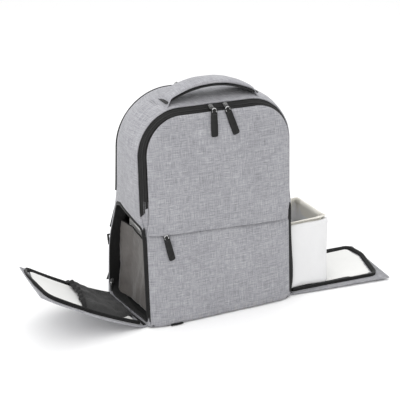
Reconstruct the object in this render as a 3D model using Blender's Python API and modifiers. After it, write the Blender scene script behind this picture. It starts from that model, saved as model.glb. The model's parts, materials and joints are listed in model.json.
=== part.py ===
"""A diaper backpack that stands open on the floor.

Both side doors are unzipped and folded down, and a padded insert is half out of the right-hand
opening. Metres; X runs to the bag's left-to-right width, Y from front to back, Z up. The origin is
on the floor, under the middle of the base.
"""

import math

import bmesh
import bpy
from mathutils import Matrix, Vector

# ---- driving dimensions ----
GAP = 0.0005                   # clearance between neighbouring pieces
WALL = 0.004                   # sewn and padded outer wall
BOARD = 0.003                  # stiffened inner wall
FOOT = 0.0045                  # height at which the walls start, above the base panel

FRONT_FOOT_Y = -0.086          # front face at the floor
FRONT_LEAN = 0.068             # how far the front leans back for each metre of height
SHELL_FRONT_Y, SHELL_FRONT_LEAN = -0.066, 0.055    # above the side openings
SIDE_FRONT_SET = 0.0085        # how far the side walls start behind the front face, below that
SHELL_BACK_Y, SHELL_BACK_LEAN = 0.100, -0.080

SHELL_HALF = (0.156, 0.155, 0.141)     # half width at the front, the middle and the back
SHELL_TOP = (0.403, 0.411, 0.414)
SHELL_RADIUS = (0.083, 0.080, 0.103)
FRONT_TUCK = 0.006             # the foot of the front is narrower than the shoulder
BACK_FLARE = 0.016             # the foot of the back is wider than the shoulder

PANEL_HALF, PANEL_TOP, PANEL_RADIUS = 0.146, 0.392, 0.067
POCKET_HALF = 0.149
POCKET_TOP = 0.166             # the pocket's zip runs just above this height
FLAP_FOOT = 0.172              # lower edge of the rain flap
FOLD_HEIGHT = 0.213            # where the front panel folds forward

DOOR_LENGTH = 0.250            # the length over which a door gains its slope
DOOR_HINGE_X, DOOR_HINGE_Z = 0.164, 0.0035
DOOR_SHEET = 0.003             # outer fabric of a door
# Slope of a door at its hinge, what it gains outwards, and the reach of its front and back edges.
LEFT_CURL = (math.radians(20.5), math.radians(14), 1.06, 0.83)
RIGHT_CURL = (0.0, 0.0, 1.0, 1.0)

INSERT_NEAR_X, INSERT_FAR_X = 0.134, 0.254
INSERT_FRONT_SET = 0.0165      # how far its front stands behind the bag's front face
INSERT_BACK_Y = 0.062
INSERT_TOP = 0.148
INSERT_FOOT = (0.0125, 0.031)  # underside at the bag, and at the far end over the rising door
INSERT_WALL = 0.009
LIP_HEIGHT = 0.006

HANDLE_HALF, HANDLE_WIDTH, HANDLE_Y = 0.098, 0.046, -0.016
HANDLE_FOOT_Z, HANDLE_RISE = 0.4078, 0.0262

ZIP_RECESS = 0.0015            # the side zips lie this far inside the wall's outer face
TAB_WIDTH, TAB_THICK = 0.013, 0.0024
SLIDER = (0.009, 0.011, 0.0045)
POCKET_SLIDER = (0.009, 0.011, 0.0032)
SIDE_SLIDER = (0.0024, 0.0062, 0.0110)


# ---- scene ----
for old in list(bpy.data.objects):
    bpy.data.objects.remove(old)
parts = bpy.data.collections.new("diaper_bag")
cutters = bpy.data.collections.new("cutters")
bpy.context.scene.collection.children.link(parts)
bpy.context.scene.collection.children.link(cutters)


def material(name, colour, roughness, metallic=0.0):
    made = bpy.data.materials.new(name)
    made.use_nodes = True
    shader = made.node_tree.nodes["Principled BSDF"]
    shader.inputs["Base Color"].default_value = (*colour, 1.0)
    shader.inputs["Roughness"].default_value = roughness
    shader.inputs["Metallic"].default_value = metallic
    return made


def finish_for(name):
    """Each sub-part's own material, by the kind of surface that its name ends in."""
    kinds = {
        "heather": ((0.36, 0.36, 0.38), 0.9, 0.0),
        "charcoal": ((0.035, 0.035, 0.037), 0.65, 0.0),
        "white": ((0.86, 0.86, 0.84), 0.7, 0.0),
        "taupe": ((0.11, 0.10, 0.095), 0.55, 0.0),
        "cream": ((0.80, 0.77, 0.70), 0.8, 0.0),
        "mesh": ((0.05, 0.05, 0.052), 0.8, 0.0),
        "steel": ((0.30, 0.30, 0.31), 0.35, 1.0),
    }
    return lambda piece: material(piece + "_" + name, *kinds[name])


heather, charcoal, white, taupe, cream, mesh_net, steel = (
    finish_for(kind) for kind in ("heather", "charcoal", "white", "taupe", "cream", "mesh", "steel")
)


# ---- modelling helpers ----
def smooth_step(t):
    t = min(max(t, 0.0), 1.0)
    return t * t * (3.0 - 2.0 * t)


def mix(a, b, t):
    return a + (b - a) * t


def through(values, s):
    """The quadratic that takes the three values at s = 0, 0.5 and 1."""
    first, middle, last = values
    return first * (1 - s) * (1 - 2 * s) + 4 * middle * s * (1 - s) + last * s * (2 * s - 1)


def add_piece(name, mesh, finish, collection=parts):
    if finish:
        mesh.materials.append(finish(name))
    made = bpy.data.objects.new(name, mesh)
    collection.objects.link(made)
    return made


def loft(name, sections, finish, closed=False, collection=parts):
    """A solid through sections, each a ring of the same number of points, with flat ends."""
    count = len(sections[0])
    points = [tuple(point) for section in sections for point in section]
    faces = []
    rings = len(sections)
    for ring in range(rings if closed else rings - 1):
        after = (ring + 1) % rings
        for corner in range(count):
            beside = (corner + 1) % count
            faces.append((ring * count + corner, ring * count + beside,
                          after * count + beside, after * count + corner))
    if not closed:
        faces.append(tuple(range(count)))
        faces.append(tuple((rings - 1) * count + corner for corner in range(count)))
    shape = bpy.data.meshes.new(name)
    shape.from_pydata(points, [], faces)
    outward(shape)
    shape.shade_smooth()
    shape.set_sharp_from_angle(angle=math.radians(40))
    return add_piece(name, shape, finish, collection)


def outward(shape):
    """Turns every face to point out of the solid."""
    work = bmesh.new()
    work.from_mesh(shape)
    bmesh.ops.recalc_face_normals(work, faces=work.faces)
    if work.calc_volume(signed=True) < 0:
        bmesh.ops.reverse_faces(work, faces=work.faces)
    work.to_mesh(shape)
    work.free()


def block(name, size, bevel, finish):
    """A box about its own origin, with rounded edges."""
    bpy.ops.mesh.primitive_cube_add(size=1.0)
    made = bpy.context.object
    made.name = name
    made.data.name = name
    made.data.transform(Matrix.Diagonal((*size, 1.0)))
    for owner in list(made.users_collection):
        owner.objects.unlink(made)
    parts.objects.link(made)
    made.data.materials.append(finish(name))
    rounding = made.modifiers.new("rounding", "BEVEL")
    rounding.width = bevel
    rounding.segments = 1
    return made


def axis_empty(name, at):
    made = bpy.data.objects.new(name, None)
    made.location = at
    made.empty_display_size = 0.02
    parts.objects.link(made)
    return made


def hang_on(empty, *pieces):
    """Parents pieces that are modelled in place to the empty on their joint's axis."""
    for piece in pieces:
        piece.parent = empty
        piece.matrix_parent_inverse = Matrix.Translation(-empty.location)


def rounded_corners(corners, steps=4):
    """A path through (y, z, radius) corners, each one turned by an arc of that radius."""
    path = []
    last = len(corners) - 1
    for index, (y, z, radius) in enumerate(corners):
        here = Vector((y, z))
        if radius == 0 or index in (0, last):
            path.append(here)
            continue
        back = (Vector(corners[index - 1][:2]) - here).normalized()
        ahead = (Vector(corners[index + 1][:2]) - here).normalized()
        half_angle = back.angle(ahead) / 2
        reach = radius / math.tan(half_angle)
        centre = here + (back + ahead).normalized() * (radius / math.sin(half_angle))
        start = (here + back * reach - centre).normalized()
        end = (here + ahead * reach - centre).normalized()
        for step in range(steps + 1):
            path.append(centre + start.slerp(end, step / steps) * radius)
    return path


def shifted(path, distance):
    """An open path moved sideways, to its right hand, by a distance."""
    moved = []
    for index, point in enumerate(path):
        ahead = path[min(index + 1, len(path) - 1)]
        behind = path[max(index - 1, 0)]
        along = (ahead - behind).normalized()
        moved.append(point + Vector((along.y, -along.x)) * distance)
    return moved


def ribbon(name, path, widths, thickness, across, finish):
    """A strap of varying width along a path; across is the direction of its width."""
    sections = []
    for index, point in enumerate(path):
        ahead = path[min(index + 1, len(path) - 1)]
        behind = path[max(index - 1, 0)]
        along = (ahead - behind).normalized()
        wide = (across - along * across.dot(along)).normalized()
        thin = along.cross(wide)
        half = widths[index] / 2
        sections.append([
            point + wide * half * 0.8 - thin * thickness / 2,
            point + wide * half,
            point + wide * half * 0.8 + thin * thickness / 2,
            point - wide * half * 0.8 + thin * thickness / 2,
            point - wide * half,
            point - wide * half * 0.8 - thin * thickness / 2,
        ])
    return loft(name, sections, finish)


# ---- the bag's outer form ----
def front_y(z):
    return FRONT_FOOT_Y + FRONT_LEAN * z


def shell_y(s, z):
    """Depth at s, from 0 on the front edge of the shell to 1 on its back edge."""
    low, high = front_y(z) + SIDE_FRONT_SET, SHELL_FRONT_Y + SHELL_FRONT_LEAN * z
    front = mix(low, high, smooth_step((z - 0.188) / 0.034))
    return mix(front, SHELL_BACK_Y + SHELL_BACK_LEAN * z, s)


def shell_half(s, z):
    tuck = FRONT_TUCK * max(1 - s, 0) * (1 - smooth_step((z - 0.16) / 0.06))
    flare = BACK_FLARE * s * s * (1 - smooth_step((z - 0.10) / 0.135))
    return through(SHELL_HALF, s) - tuck + flare


def arch_stations(foot, wall_steps=5, corner_steps=5):
    """Places round an arch: (side, height fraction or None, corner angle)."""
    left = [(-1, foot, step / wall_steps, 0.0) for step in range(wall_steps + 1)]
    left += [(-1, foot, 1.0, math.radians(90) * step / corner_steps) for step in range(1, corner_steps + 1)]
    return left + [(1, *place[1:]) for place in reversed(left)]


def arch_point(station, half_at, top, radius, y_at, inward):
    """A point on an arch, moved inward from its surface."""
    side, foot, height, angle = station
    z = mix(foot, top - radius, height) + radius * math.sin(angle)
    x = half_at(z) - radius * (1 - math.cos(angle))
    return Vector((side * (x - inward * math.cos(angle)), y_at(z), z - inward * math.sin(angle)))


def arch_band(name, rows, stations, thickness, finish):
    """A band round an arch; each row is (half width at z, top, corner radius, depth at z)."""
    sections = []
    for station in stations:
        outer = [arch_point(station, *row, 0.0) for row in rows]
        inner = [arch_point(station, *row, thickness) for row in rows]
        sections.append(outer + inner[::-1])
    return loft(name, sections, finish)


def shell_row(s):
    return (lambda z: shell_half(s, z), through(SHELL_TOP, s), through(SHELL_RADIUS, s),
            lambda z: shell_y(s, z))


def gusset_row(t):
    """A row of the zip gusset, from 0 at the front panel's edge to 1 at the shell's."""
    edge = wrap(1.0)
    return (lambda z: mix(PANEL_HALF, shell_half(0, z), t),
            mix(PANEL_TOP, SHELL_TOP[0], t), mix(PANEL_RADIUS, SHELL_RADIUS[0], t),
            lambda z: mix(front_y(z) + edge, shell_y(0, z), t))


def wrap(fraction):
    """How far a front panel turns back at a fraction of its half width."""
    return 0.004 * max((abs(fraction) - 0.76) / 0.24, 0.0) ** 2


def panel(name, heights, half_at, face_at, thickness, finish):
    """An upright panel; face_at gives its front face at (fraction of half width, z)."""
    fractions = (-1.0, -0.92, -0.84, -0.76, 0.0, 0.76, 0.84, 0.92, 1.0)
    sections = []
    for z in heights:
        half = half_at(z)
        face = [Vector((f * half, face_at(f, z), z)) for f in fractions]
        behind = [point + Vector((0, thickness, 0)) for point in face]
        sections.append(face + behind[::-1])
    return loft(name, sections, finish)


def arch_heights(foot, top, radius, steps=5):
    straight = [foot, mix(foot, top - radius, 0.5)]
    return straight + [top - radius + radius * math.sin(math.radians(90) * step / steps)
                       for step in range(steps + 1)]


def arch_half(half_at, top, radius):
    def half(z):
        over = min(max(z - (top - radius), 0.0), radius)
        return half_at(z) - radius + math.sqrt(radius * radius - over * over)
    return half


# ---- side openings ----
OPENING_FOOT = 0.0080
OPENING = (                    # y, z and corner radius, from the front foot round to the back foot
    (-0.0740, OPENING_FOOT, 0.000),
    (-0.0615, 0.1920, 0.012),
    (-0.0100, 0.2035, 0.040),
    (0.0380, 0.2090, 0.030),
    (0.0700, 0.1990, 0.014),
    (0.0820, 0.1400, 0.060),
    (0.0920, OPENING_FOOT, 0.000),
)


def opening_path(inset):
    return shifted(rounded_corners(OPENING), inset)


def make_openings(shell):
    """Cuts both side openings with one prism that runs across the bag."""
    path = opening_path(0.0)
    sections = [[Vector((x, y, z)) for y, z in path] for x in (-0.2, 0.2)]
    cutter = loft("opening_cutter", sections, None, collection=cutters)
    cutter.hide_render = True
    cutter.display_type = "WIRE"
    cut = shell.modifiers.new("openings", "BOOLEAN")
    cut.object = cutter
    cut.operation = "DIFFERENCE"
    cut.solver = "EXACT"


def wall_x(y, z):
    """Half width of the shell at a depth and a height."""
    s = (y - shell_y(0, z)) / (shell_y(1, z) - shell_y(0, z))
    return shell_half(min(max(s, 0.0), 1.0), z)


def opening_zip(name, side):
    """The zip tape inside the edge of an opening, from the floor round to the floor."""
    sections = []
    for outer, deep in zip(opening_path(GAP), opening_path(0.008)):
        inner = outer.lerp(deep, mix(0.45, 1.0, smooth_step((outer.x + 0.06) / 0.05)))
        outer.y, inner.y = (max(point.y, OPENING_FOOT + GAP) for point in (outer, inner))
        sections.append([
            Vector((side * (wall_x(*outer) - ZIP_RECESS), *outer)),
            Vector((side * (wall_x(*inner) - ZIP_RECESS), *inner)),
            Vector((side * (wall_x(*inner) - WALL), *inner)),
            Vector((side * (wall_x(*outer) - WALL), *outer)),
        ])
    return loft(name, sections, charcoal)


# ---- side doors ----
DOOR_STEPS = 12


def door_point(side, curl, along, y, height):
    """A place on a door: along it from the hinge, across it, and above its outer fabric."""
    slope, gain, front_reach, back_reach = curl
    along *= mix(front_reach, back_reach, (y + 0.095) / 0.178)
    x, z = DOOR_HINGE_X, DOOR_HINGE_Z
    steps = 24
    angle = slope
    for step in range(steps):
        angle = slope + gain * min(((step + 0.5) / steps) * along / DOOR_LENGTH, 1.0) ** 0.7
        x += math.cos(angle) * along / steps
        z += math.sin(angle) * along / steps
    angle = slope + gain * min(along / DOOR_LENGTH, 1.0) ** 0.7
    return Vector((side * (x - math.sin(angle) * height), y, z + math.cos(angle) * height))


def door_slab(name, side, curl, span, edges, heights, finish):
    """A layer of a door over a span of its length, between two edges and two heights."""
    sections = []
    for step in range(DOOR_STEPS + 1):
        along = mix(*span, step / DOOR_STEPS)
        front, back = (edge(along) for edge in edges)
        sections.append([
            door_point(side, curl, along, front, heights[0]),
            door_point(side, curl, along, back, heights[0]),
            door_point(side, curl, along, back, heights[1]),
            door_point(side, curl, along, front, heights[1]),
        ])
    return loft(name, sections, finish)


DOOR_ZIP = (                   # length along the door, y and corner radius
    (0.0040, -0.0640, 0.000),
    (0.2020, -0.0740, 0.024),
    (0.2380, 0.0300, 0.060),
    (0.2370, 0.0800, 0.016),
    (0.0040, 0.0860, 0.000),
)


def flange_front(along):
    return mix(-0.072, -0.099, along / DOOR_LENGTH)


def flange_back(along):
    return mix(0.094, 0.083, along / DOOR_LENGTH)


def flange_end(y):
    """How far the outer fabric reaches from the hinge, at a depth across the door."""
    return mix(0.216, 0.247, (y + 0.095) / 0.178)


def door_panel(name, side, curl):
    """Outer fabric of a door, with a slanted far edge."""
    sections = []
    for step in range(DOOR_STEPS + 1):
        part = step / DOOR_STEPS
        ends = [flange_end(-0.095) * part, flange_end(0.083) * part]
        sides = [flange_front(ends[0]), flange_back(ends[1])]
        low, high = -DOOR_SHEET / 2, DOOR_SHEET / 2
        sections.append([
            door_point(side, curl, ends[0], sides[0], low),
            door_point(side, curl, ends[1], sides[1], low),
            door_point(side, curl, ends[1], sides[1], high),
            door_point(side, curl, ends[0], sides[0], high),
        ])
    return loft(name, sections, heather)


def zip_edges(inset):
    """Front and back edges of the area inside a door's zip, as functions of the length."""
    path = shifted(rounded_corners(DOOR_ZIP), -inset)
    farthest = max(range(len(path)), key=lambda index: path[index].x)

    def edge(points):
        def at(along):
            for first, second in zip(points, points[1:]):
                if min(first.x, second.x) <= along <= max(first.x, second.x) and first.x != second.x:
                    return mix(first.y, second.y, (along - first.x) / (second.x - first.x))
            return points[-1].y
        return at
    return edge(path[:farthest + 1]), edge(path[farthest:][::-1]), path[farthest].x


def door_zip(name, side, curl):
    """The zip tape that stands up round the door's lining."""
    sections = []
    low, high = DOOR_SHEET / 2 + GAP, 0.0062
    outer_path = rounded_corners(DOOR_ZIP)
    for outer, inner in zip(outer_path, shifted(outer_path, -0.007)):
        sections.append([
            door_point(side, curl, *outer, low),
            door_point(side, curl, *inner, low),
            door_point(side, curl, *inner, high),
            door_point(side, curl, *outer, high),
        ])
    return loft(name, sections, charcoal)


def door_lining(name, side, curl):
    """White padded lining inside the zip."""
    front, back, farthest = zip_edges(0.0085)
    return door_slab(name, side, curl, (0.006, farthest - 0.004), (front, back),
                     (DOOR_SHEET / 2 + GAP, 0.0050), white)


def make_door(side_name, side, curl):
    hinge = axis_empty(side_name + "_door_axis", (side * DOOR_HINGE_X, 0.0, DOOR_HINGE_Z))
    pieces = [
        door_panel(side_name + "_door_panel", side, curl),
        door_zip(side_name + "_door_zip", side, curl),
        door_lining(side_name + "_door_lining", side, curl),
    ]
    hang_on(hinge, *pieces)
    loft(side_name + "_hinge_strip", [
        [Vector((side * x, y, z)) for x, z in ((0.1475, 0.0008), (0.1625, 0.0008),
                                               (0.1625, 0.0038), (0.1475, 0.0038))]
        for y in (-0.070, 0.090)
    ], heather)
    return hinge


# ---- root pieces ----
def make_shell():
    rows = [shell_row(s) for s in (0.0, 0.12, 0.35, 0.6, 0.85, 1.0)]
    shell = arch_band("main_shell", rows, arch_stations(FOOT, wall_steps=16), WALL, heather)
    make_openings(shell)


def make_base():
    corners = ((-0.1470, -0.0640), (-0.1340, -0.0800), (0.1340, -0.0800), (0.1470, -0.0640),
               (0.1470, 0.0850), (0.1380, 0.0970), (-0.1380, 0.0970), (-0.1470, 0.0850))
    sections = [[Vector((x, y, z)) for x, y in corners] for z in (0.0, FOOT - GAP)]
    loft("base_panel", sections, charcoal)
    tab = block("base_webbing_tab", (0.024, 0.007, 0.0032), 0.0008, charcoal)
    tab.location = (-0.100, -0.0845, 0.0022)


def make_back():
    rows = []
    for depth in (GAP, 0.0070):
        rows.append((lambda z: shell_half(1, z) + 0.0015, SHELL_TOP[2] + 0.0015, SHELL_RADIUS[2] + 0.0015,
                     lambda z, depth=depth: shell_y(1, z) + depth))
    arch_band("rear_zip", rows, arch_stations(0.222, wall_steps=3), 0.006, charcoal)
    top, radius = SHELL_TOP[2] - 0.002, SHELL_RADIUS[2]
    heights = [FOOT, 0.06, 0.10, 0.14, 0.18] + arch_heights(0.222, top, radius)
    panel("back_panel", heights, arch_half(lambda z: shell_half(1, z) - 0.002, top, radius),
          lambda f, z: shell_y(1, z) + 0.0070 + GAP, 0.011, charcoal)


def make_front():
    pocket_heights = (FOOT, 0.05, 0.10, POCKET_TOP)
    panel("front_pocket_panel", pocket_heights, lambda z: POCKET_HALF,
          lambda f, z: front_y(z) + wrap(f), WALL, heather)
    panel("rain_flap", (FLAP_FOOT, 0.190, FOLD_HEIGHT - 0.0035), lambda z: POCKET_HALF - 0.001,
          lambda f, z: front_y(z) + wrap(f), WALL - 0.001, heather)
    gusset = [gusset_row(t) for t in (0.52, 0.75, 0.92)]
    arch_band("front_gusset", gusset, arch_stations(0.2250, wall_steps=3), WALL, charcoal)


def divider_y(z):
    profile = ((0.0, -0.0795), (0.165, -0.0683), (0.215, -0.0525), (0.400, -0.0460))
    for (low, first), (high, second) in zip(profile, profile[1:]):
        if z <= high:
            return mix(first, second, (z - low) / (high - low))
    return profile[-1][1]


def make_inner_walls():
    top, radius = 0.384, 0.060
    heights = [0.012, 0.165, 0.190] + arch_heights(0.215, top, radius)
    panel("front_divider", heights, arch_half(lambda z: 0.130, top, radius),
          lambda f, z: divider_y(z), BOARD, white)
    roof = ((-0.054, 0.1745), (-0.028, 0.1925), (0.030, 0.2150), (0.066, 0.2165))
    sections = []
    for x in (-0.132, 0.132):
        under = [Vector((x, y, z)) for y, z in roof]
        sections.append(under + [point + Vector((0, 0, BOARD)) for point in under[::-1]])
    loft("compartment_roof", sections, white)
    outline = ((-0.070, 0.012), (-0.060, 0.150), (-0.026, 0.172), (0.034, 0.194), (0.064, 0.180), (0.074, 0.012))
    sections = [[Vector((x, y, z)) for y, z in outline] for x in (-0.128, -0.128 + BOARD)]
    loft("left_liner", sections, taupe)


def make_handle():
    steps = 12
    path, widths = [], []
    for step in range(steps + 1):
        t = mix(-1.0, 1.0, step / steps)
        path.append(Vector((HANDLE_HALF * t, HANDLE_Y, HANDLE_FOOT_Z + HANDLE_RISE * (1 - t * t))))
        widths.append(HANDLE_WIDTH * (1 - 0.12 * t * t))
    ribbon("handle_lining", path, [width - 0.006 for width in widths], 0.002,
           Vector((0, 1, 0)), mesh_net)
    lift = 0.002 / 2 + GAP
    sections = []
    for index, point in enumerate(path):
        t = mix(-1.0, 1.0, index / steps)
        thick = mix(0.004, 0.0125, (1 - t * t) ** 0.6)
        half = widths[index] / 2
        base = point + Vector((0, 0, lift))
        sections.append([base + Vector((0, half * across, thick * up)) for across, up in
                         ((-0.9, 0.0), (-1.0, 0.35), (-0.72, 0.9), (0.0, 1.06), (0.72, 0.9), (1.0, 0.35), (0.9, 0.0))])
    loft("handle_pad", sections, heather)


def make_front_flap():
    hinge = axis_empty("front_panel_axis", (0.0, front_y(FOLD_HEIGHT) + 0.002, FOLD_HEIGHT))
    flap = panel("upper_front_panel", arch_heights(FOLD_HEIGHT + 0.0020, PANEL_TOP, PANEL_RADIUS),
                 arch_half(lambda z: PANEL_HALF - GAP, PANEL_TOP, PANEL_RADIUS),
                 lambda f, z: front_y(z) + wrap(f), WALL, heather)
    tape = arch_band("front_zip_tape", [gusset_row(t) for t in (0.30, 0.47)],
                     arch_stations(0.2250, wall_steps=3), 0.0022, charcoal)
    hang_on(hinge, flap, tape)


# ---- the insert ----
def make_insert():
    """A padded box with an open top, whose underside rises over the path of the closing door."""
    slope = (INSERT_FOOT[1] - INSERT_FOOT[0]) / (INSERT_FAR_X - DOOR_HINGE_X)

    def foot(x):
        return INSERT_FOOT[0] + slope * max(x - DOOR_HINGE_X, 0.0)

    def ring(inset, z_at):
        stops = (INSERT_NEAR_X + inset, DOOR_HINGE_X, INSERT_FAR_X - inset)
        front = [Vector((x, front_y(z_at(x)) + INSERT_FRONT_SET + inset, z_at(x))) for x in stops]
        back = [Vector((x, INSERT_BACK_Y - inset, z_at(x))) for x in stops[::-1]]
        return front + back
    body_top = INSERT_TOP - LIP_HEIGHT - GAP
    shell = loft("insert_shell", [
        ring(0.0, foot),
        ring(0.0, lambda x: body_top),
        ring(INSERT_WALL, lambda x: body_top),
        ring(INSERT_WALL, lambda x: foot(x) + INSERT_WALL),
    ], white)
    lip = loft("insert_lip", [
        ring(0.0, lambda x: body_top + GAP),
        ring(0.001, lambda x: INSERT_TOP),
        ring(INSERT_WALL, lambda x: INSERT_TOP),
        ring(INSERT_WALL, lambda x: body_top + GAP),
    ], cream, closed=True)
    axis = axis_empty("insert_axis", (INSERT_NEAR_X, 0.0, INSERT_FOOT[0]))
    hang_on(axis, shell, lip)


# ---- zip sliders and pull tabs ----
def make_pull(name, slider_at, slider_tilt, pivot, tab_length, tab_tilt, lean=0.0,
              width=TAB_WIDTH, size=SLIDER):
    """A slider, and a tab that hangs from the pivot; tilt turns about X and lean in the tab's plane."""
    slider = block(name + "_slider", size, 0.0008, steel)
    slider.location = slider_at
    slider.rotation_euler = (slider_tilt, 0.0, 0.0)
    tab = block(name + "_tab", (width, TAB_THICK, tab_length), 0.0008, charcoal)
    tab.data.transform(Matrix.Translation((0.0, 0.0, -tab_length / 2)))
    tab.matrix_world = (Matrix.Translation(pivot) @ Matrix.Rotation(tab_tilt, 4, "X")
                        @ Matrix.Rotation(lean, 4, "Y"))


def make_side_pull(name, side, z):
    """A slider on the back run of an opening's zip, at its foot, with its tab hanging below it."""
    y = 0.0858
    x = side * (wall_x(y, z) + SIDE_SLIDER[0] / 2 - ZIP_RECESS + GAP)
    slider = block(name + "_slider", SIDE_SLIDER, 0.0006, steel)
    slider.location = (x, y, z)
    tab = block(name + "_tab", (0.0018, 0.0060, 0.0180), 0.0005, charcoal)
    tab.data.transform(Matrix.Translation((0.0, 0.0, -0.0090)))
    tab.location = (x + side * GAP, y, z - SIDE_SLIDER[2] / 2 - GAP)


def make_pulls():
    top_z = 0.3985
    tab_y = front_y(PANEL_TOP) - TAB_THICK / 2 - 0.0012
    panel_tilt = -math.atan(FRONT_LEAN)
    slider_y, slider_z = front_y(PANEL_TOP) + 0.0045, top_z + 0.0035
    make_pull("front_left", (-0.013, slider_y, slider_z), math.radians(30),
              (-0.013, tab_y, top_z), 0.048, panel_tilt, math.radians(1))
    make_pull("front_right", (0.017, slider_y, slider_z), math.radians(30),
              (0.018, tab_y, top_z), 0.050, panel_tilt, math.radians(-13))
    pocket_z = FLAP_FOOT - 0.001
    make_pull("pocket", (-0.117, front_y(pocket_z) + 0.0059, pocket_z + 0.006), math.radians(90),
              (-0.1165, front_y(pocket_z) - TAB_THICK / 2 - 0.0010, pocket_z), 0.041, panel_tilt,
              math.radians(-14), 0.012, POCKET_SLIDER)
    back_z = SHELL_TOP[2] + 0.0050
    back_y = shell_y(1, back_z)
    for name, x in (("rear_left", -0.020), ("rear_right", 0.006)):
        make_pull(name, (x, back_y + 0.004, back_z), 0.0,
                  (x, back_y + 0.0215, 0.4080), 0.022, math.atan(-SHELL_BACK_LEAN))


# ---- shoulder straps ----
STRAP_ROUTE = (
    (0.045, 0.0960, 0.378, 0.026), (0.049, 0.1070, 0.356, 0.036), (0.057, 0.1190, 0.320, 0.050),
    (0.070, 0.1270, 0.270, 0.056), (0.086, 0.1310, 0.220, 0.054), (0.105, 0.1310, 0.170, 0.046),
    (0.125, 0.1270, 0.125, 0.036),
)


def make_strap(side_name, side):
    across = Vector((1.0, 0.0, 0.0))
    path = [Vector((side * x, y, z)) for x, y, z, width in STRAP_ROUTE]
    pad = ribbon("strap_pad_" + side_name, path, [place[3] for place in STRAP_ROUTE], 0.010, across, charcoal)
    adjuster = block("strap_adjuster_" + side_name, (0.034, 0.005, 0.022), 0.001, steel)
    adjuster.location = (side * 0.1325, 0.1220, 0.1085)
    adjuster.rotation_euler = (math.radians(-14), 0.0, 0.0)
    low = [Vector((side * 0.1360, 0.1195, 0.0950)), Vector((side * 0.1380, 0.1180, 0.070)),
           Vector((side * 0.1390, 0.1190, 0.0480))]
    webbing = ribbon("strap_webbing_" + side_name, low, [0.020] * 3, 0.0022, across, charcoal)
    anchor = block("strap_anchor_" + side_name, (0.026, 0.0022, 0.020), 0.0006, charcoal)
    anchor.location = (side * 0.1370, 0.1195, 0.0350)
    top = axis_empty("strap_axis_" + side_name, path[0])
    hang_on(top, pad, webbing)
    adjuster.parent = top
    adjuster.matrix_parent_inverse = Matrix.Translation(-top.location)


# ---- build ----
make_shell()
make_base()
make_back()
make_front()
make_inner_walls()
make_handle()
make_front_flap()
make_door("right", 1, RIGHT_CURL)
left_hinge = make_door("left", -1, LEFT_CURL)
lining_front, lining_back, lining_end = zip_edges(0.0095)
hang_on(left_hinge, door_slab("left_mesh_pocket", -1, LEFT_CURL, (0.010, 0.118), (lining_front, lining_back),
                              (0.0055, 0.0085), mesh_net),
        door_slab("left_pocket_elastic", -1, LEFT_CURL, (0.1185, 0.1265), (lining_front, lining_back),
                  (0.0055, 0.0095), charcoal))
make_insert()
make_pulls()
for pull_side_name, pull_side in (("left", -1), ("right", 1)):
    opening_zip(pull_side_name + "_opening_zip", pull_side)
    make_side_pull(pull_side_name + "_side", pull_side, 0.036)
    make_strap(pull_side_name, pull_side)
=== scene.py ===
"""Looks of the diaper backpack: fabric, zips, padding and lining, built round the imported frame."""
import json
import math

import bmesh
import bpy
from mathutils import Matrix, Vector, noise


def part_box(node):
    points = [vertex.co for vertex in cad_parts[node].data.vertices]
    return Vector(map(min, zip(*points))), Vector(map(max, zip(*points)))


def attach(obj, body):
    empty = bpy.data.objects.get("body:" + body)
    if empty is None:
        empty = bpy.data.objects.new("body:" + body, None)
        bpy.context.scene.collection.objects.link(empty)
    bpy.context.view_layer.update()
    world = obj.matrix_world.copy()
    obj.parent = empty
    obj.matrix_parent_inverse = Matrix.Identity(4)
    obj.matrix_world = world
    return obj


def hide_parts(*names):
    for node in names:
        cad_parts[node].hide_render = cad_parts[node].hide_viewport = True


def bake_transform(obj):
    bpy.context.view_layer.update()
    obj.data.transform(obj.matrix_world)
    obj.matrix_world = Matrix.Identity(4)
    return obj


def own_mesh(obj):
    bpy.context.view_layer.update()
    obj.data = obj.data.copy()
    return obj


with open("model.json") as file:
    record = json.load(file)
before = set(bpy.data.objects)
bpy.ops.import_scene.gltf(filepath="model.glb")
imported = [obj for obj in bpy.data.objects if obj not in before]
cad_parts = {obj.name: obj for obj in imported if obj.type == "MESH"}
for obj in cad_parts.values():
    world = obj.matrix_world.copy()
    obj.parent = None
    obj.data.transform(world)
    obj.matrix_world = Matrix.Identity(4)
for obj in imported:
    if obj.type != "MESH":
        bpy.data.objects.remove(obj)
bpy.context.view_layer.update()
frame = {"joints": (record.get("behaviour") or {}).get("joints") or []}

MM = 0.001


# ---- sizes read from the frame ----
def low(node):
    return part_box(node)[0]


def high(node):
    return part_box(node)[1]


FRONT_LEAN = 0.068                                   # the front leans back by this for each metre
FRONT_FOOT_Y = low("front_pocket_panel")[1] - FRONT_LEAN * low("front_pocket_panel")[2]
PANEL_HALF = high("upper_front_panel")[0] + 0.5 * MM
PANEL_TOP = high("upper_front_panel")[2]
PANEL_RADIUS = 67 * MM
POCKET_HALF = high("front_pocket_panel")[0]
SHELL_HALF = (156 * MM, 155 * MM, 141 * MM)          # front, middle and back, as on the frame's shell
SHELL_TOP = (403 * MM, 411 * MM, high("main_shell")[2])
SHELL_RADIUS = (83 * MM, 80 * MM, 103 * MM)
SHELL_FOOT = low("main_shell")[2]
DOOR_HINGE_X = low("right_door_panel")[0]
DOOR_HINGE_Z = low("right_door_panel")[2] + 1.5 * MM
DOOR_LENGTH = 250 * MM
# Slope of a door at its hinge, what it gains outwards, and the reach of its front and back edges.
LEFT_CURL = (math.radians(20.5), math.radians(14), 1.06, 0.83)
RIGHT_CURL = (0.0, 0.0, 1.0, 1.0)


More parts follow.
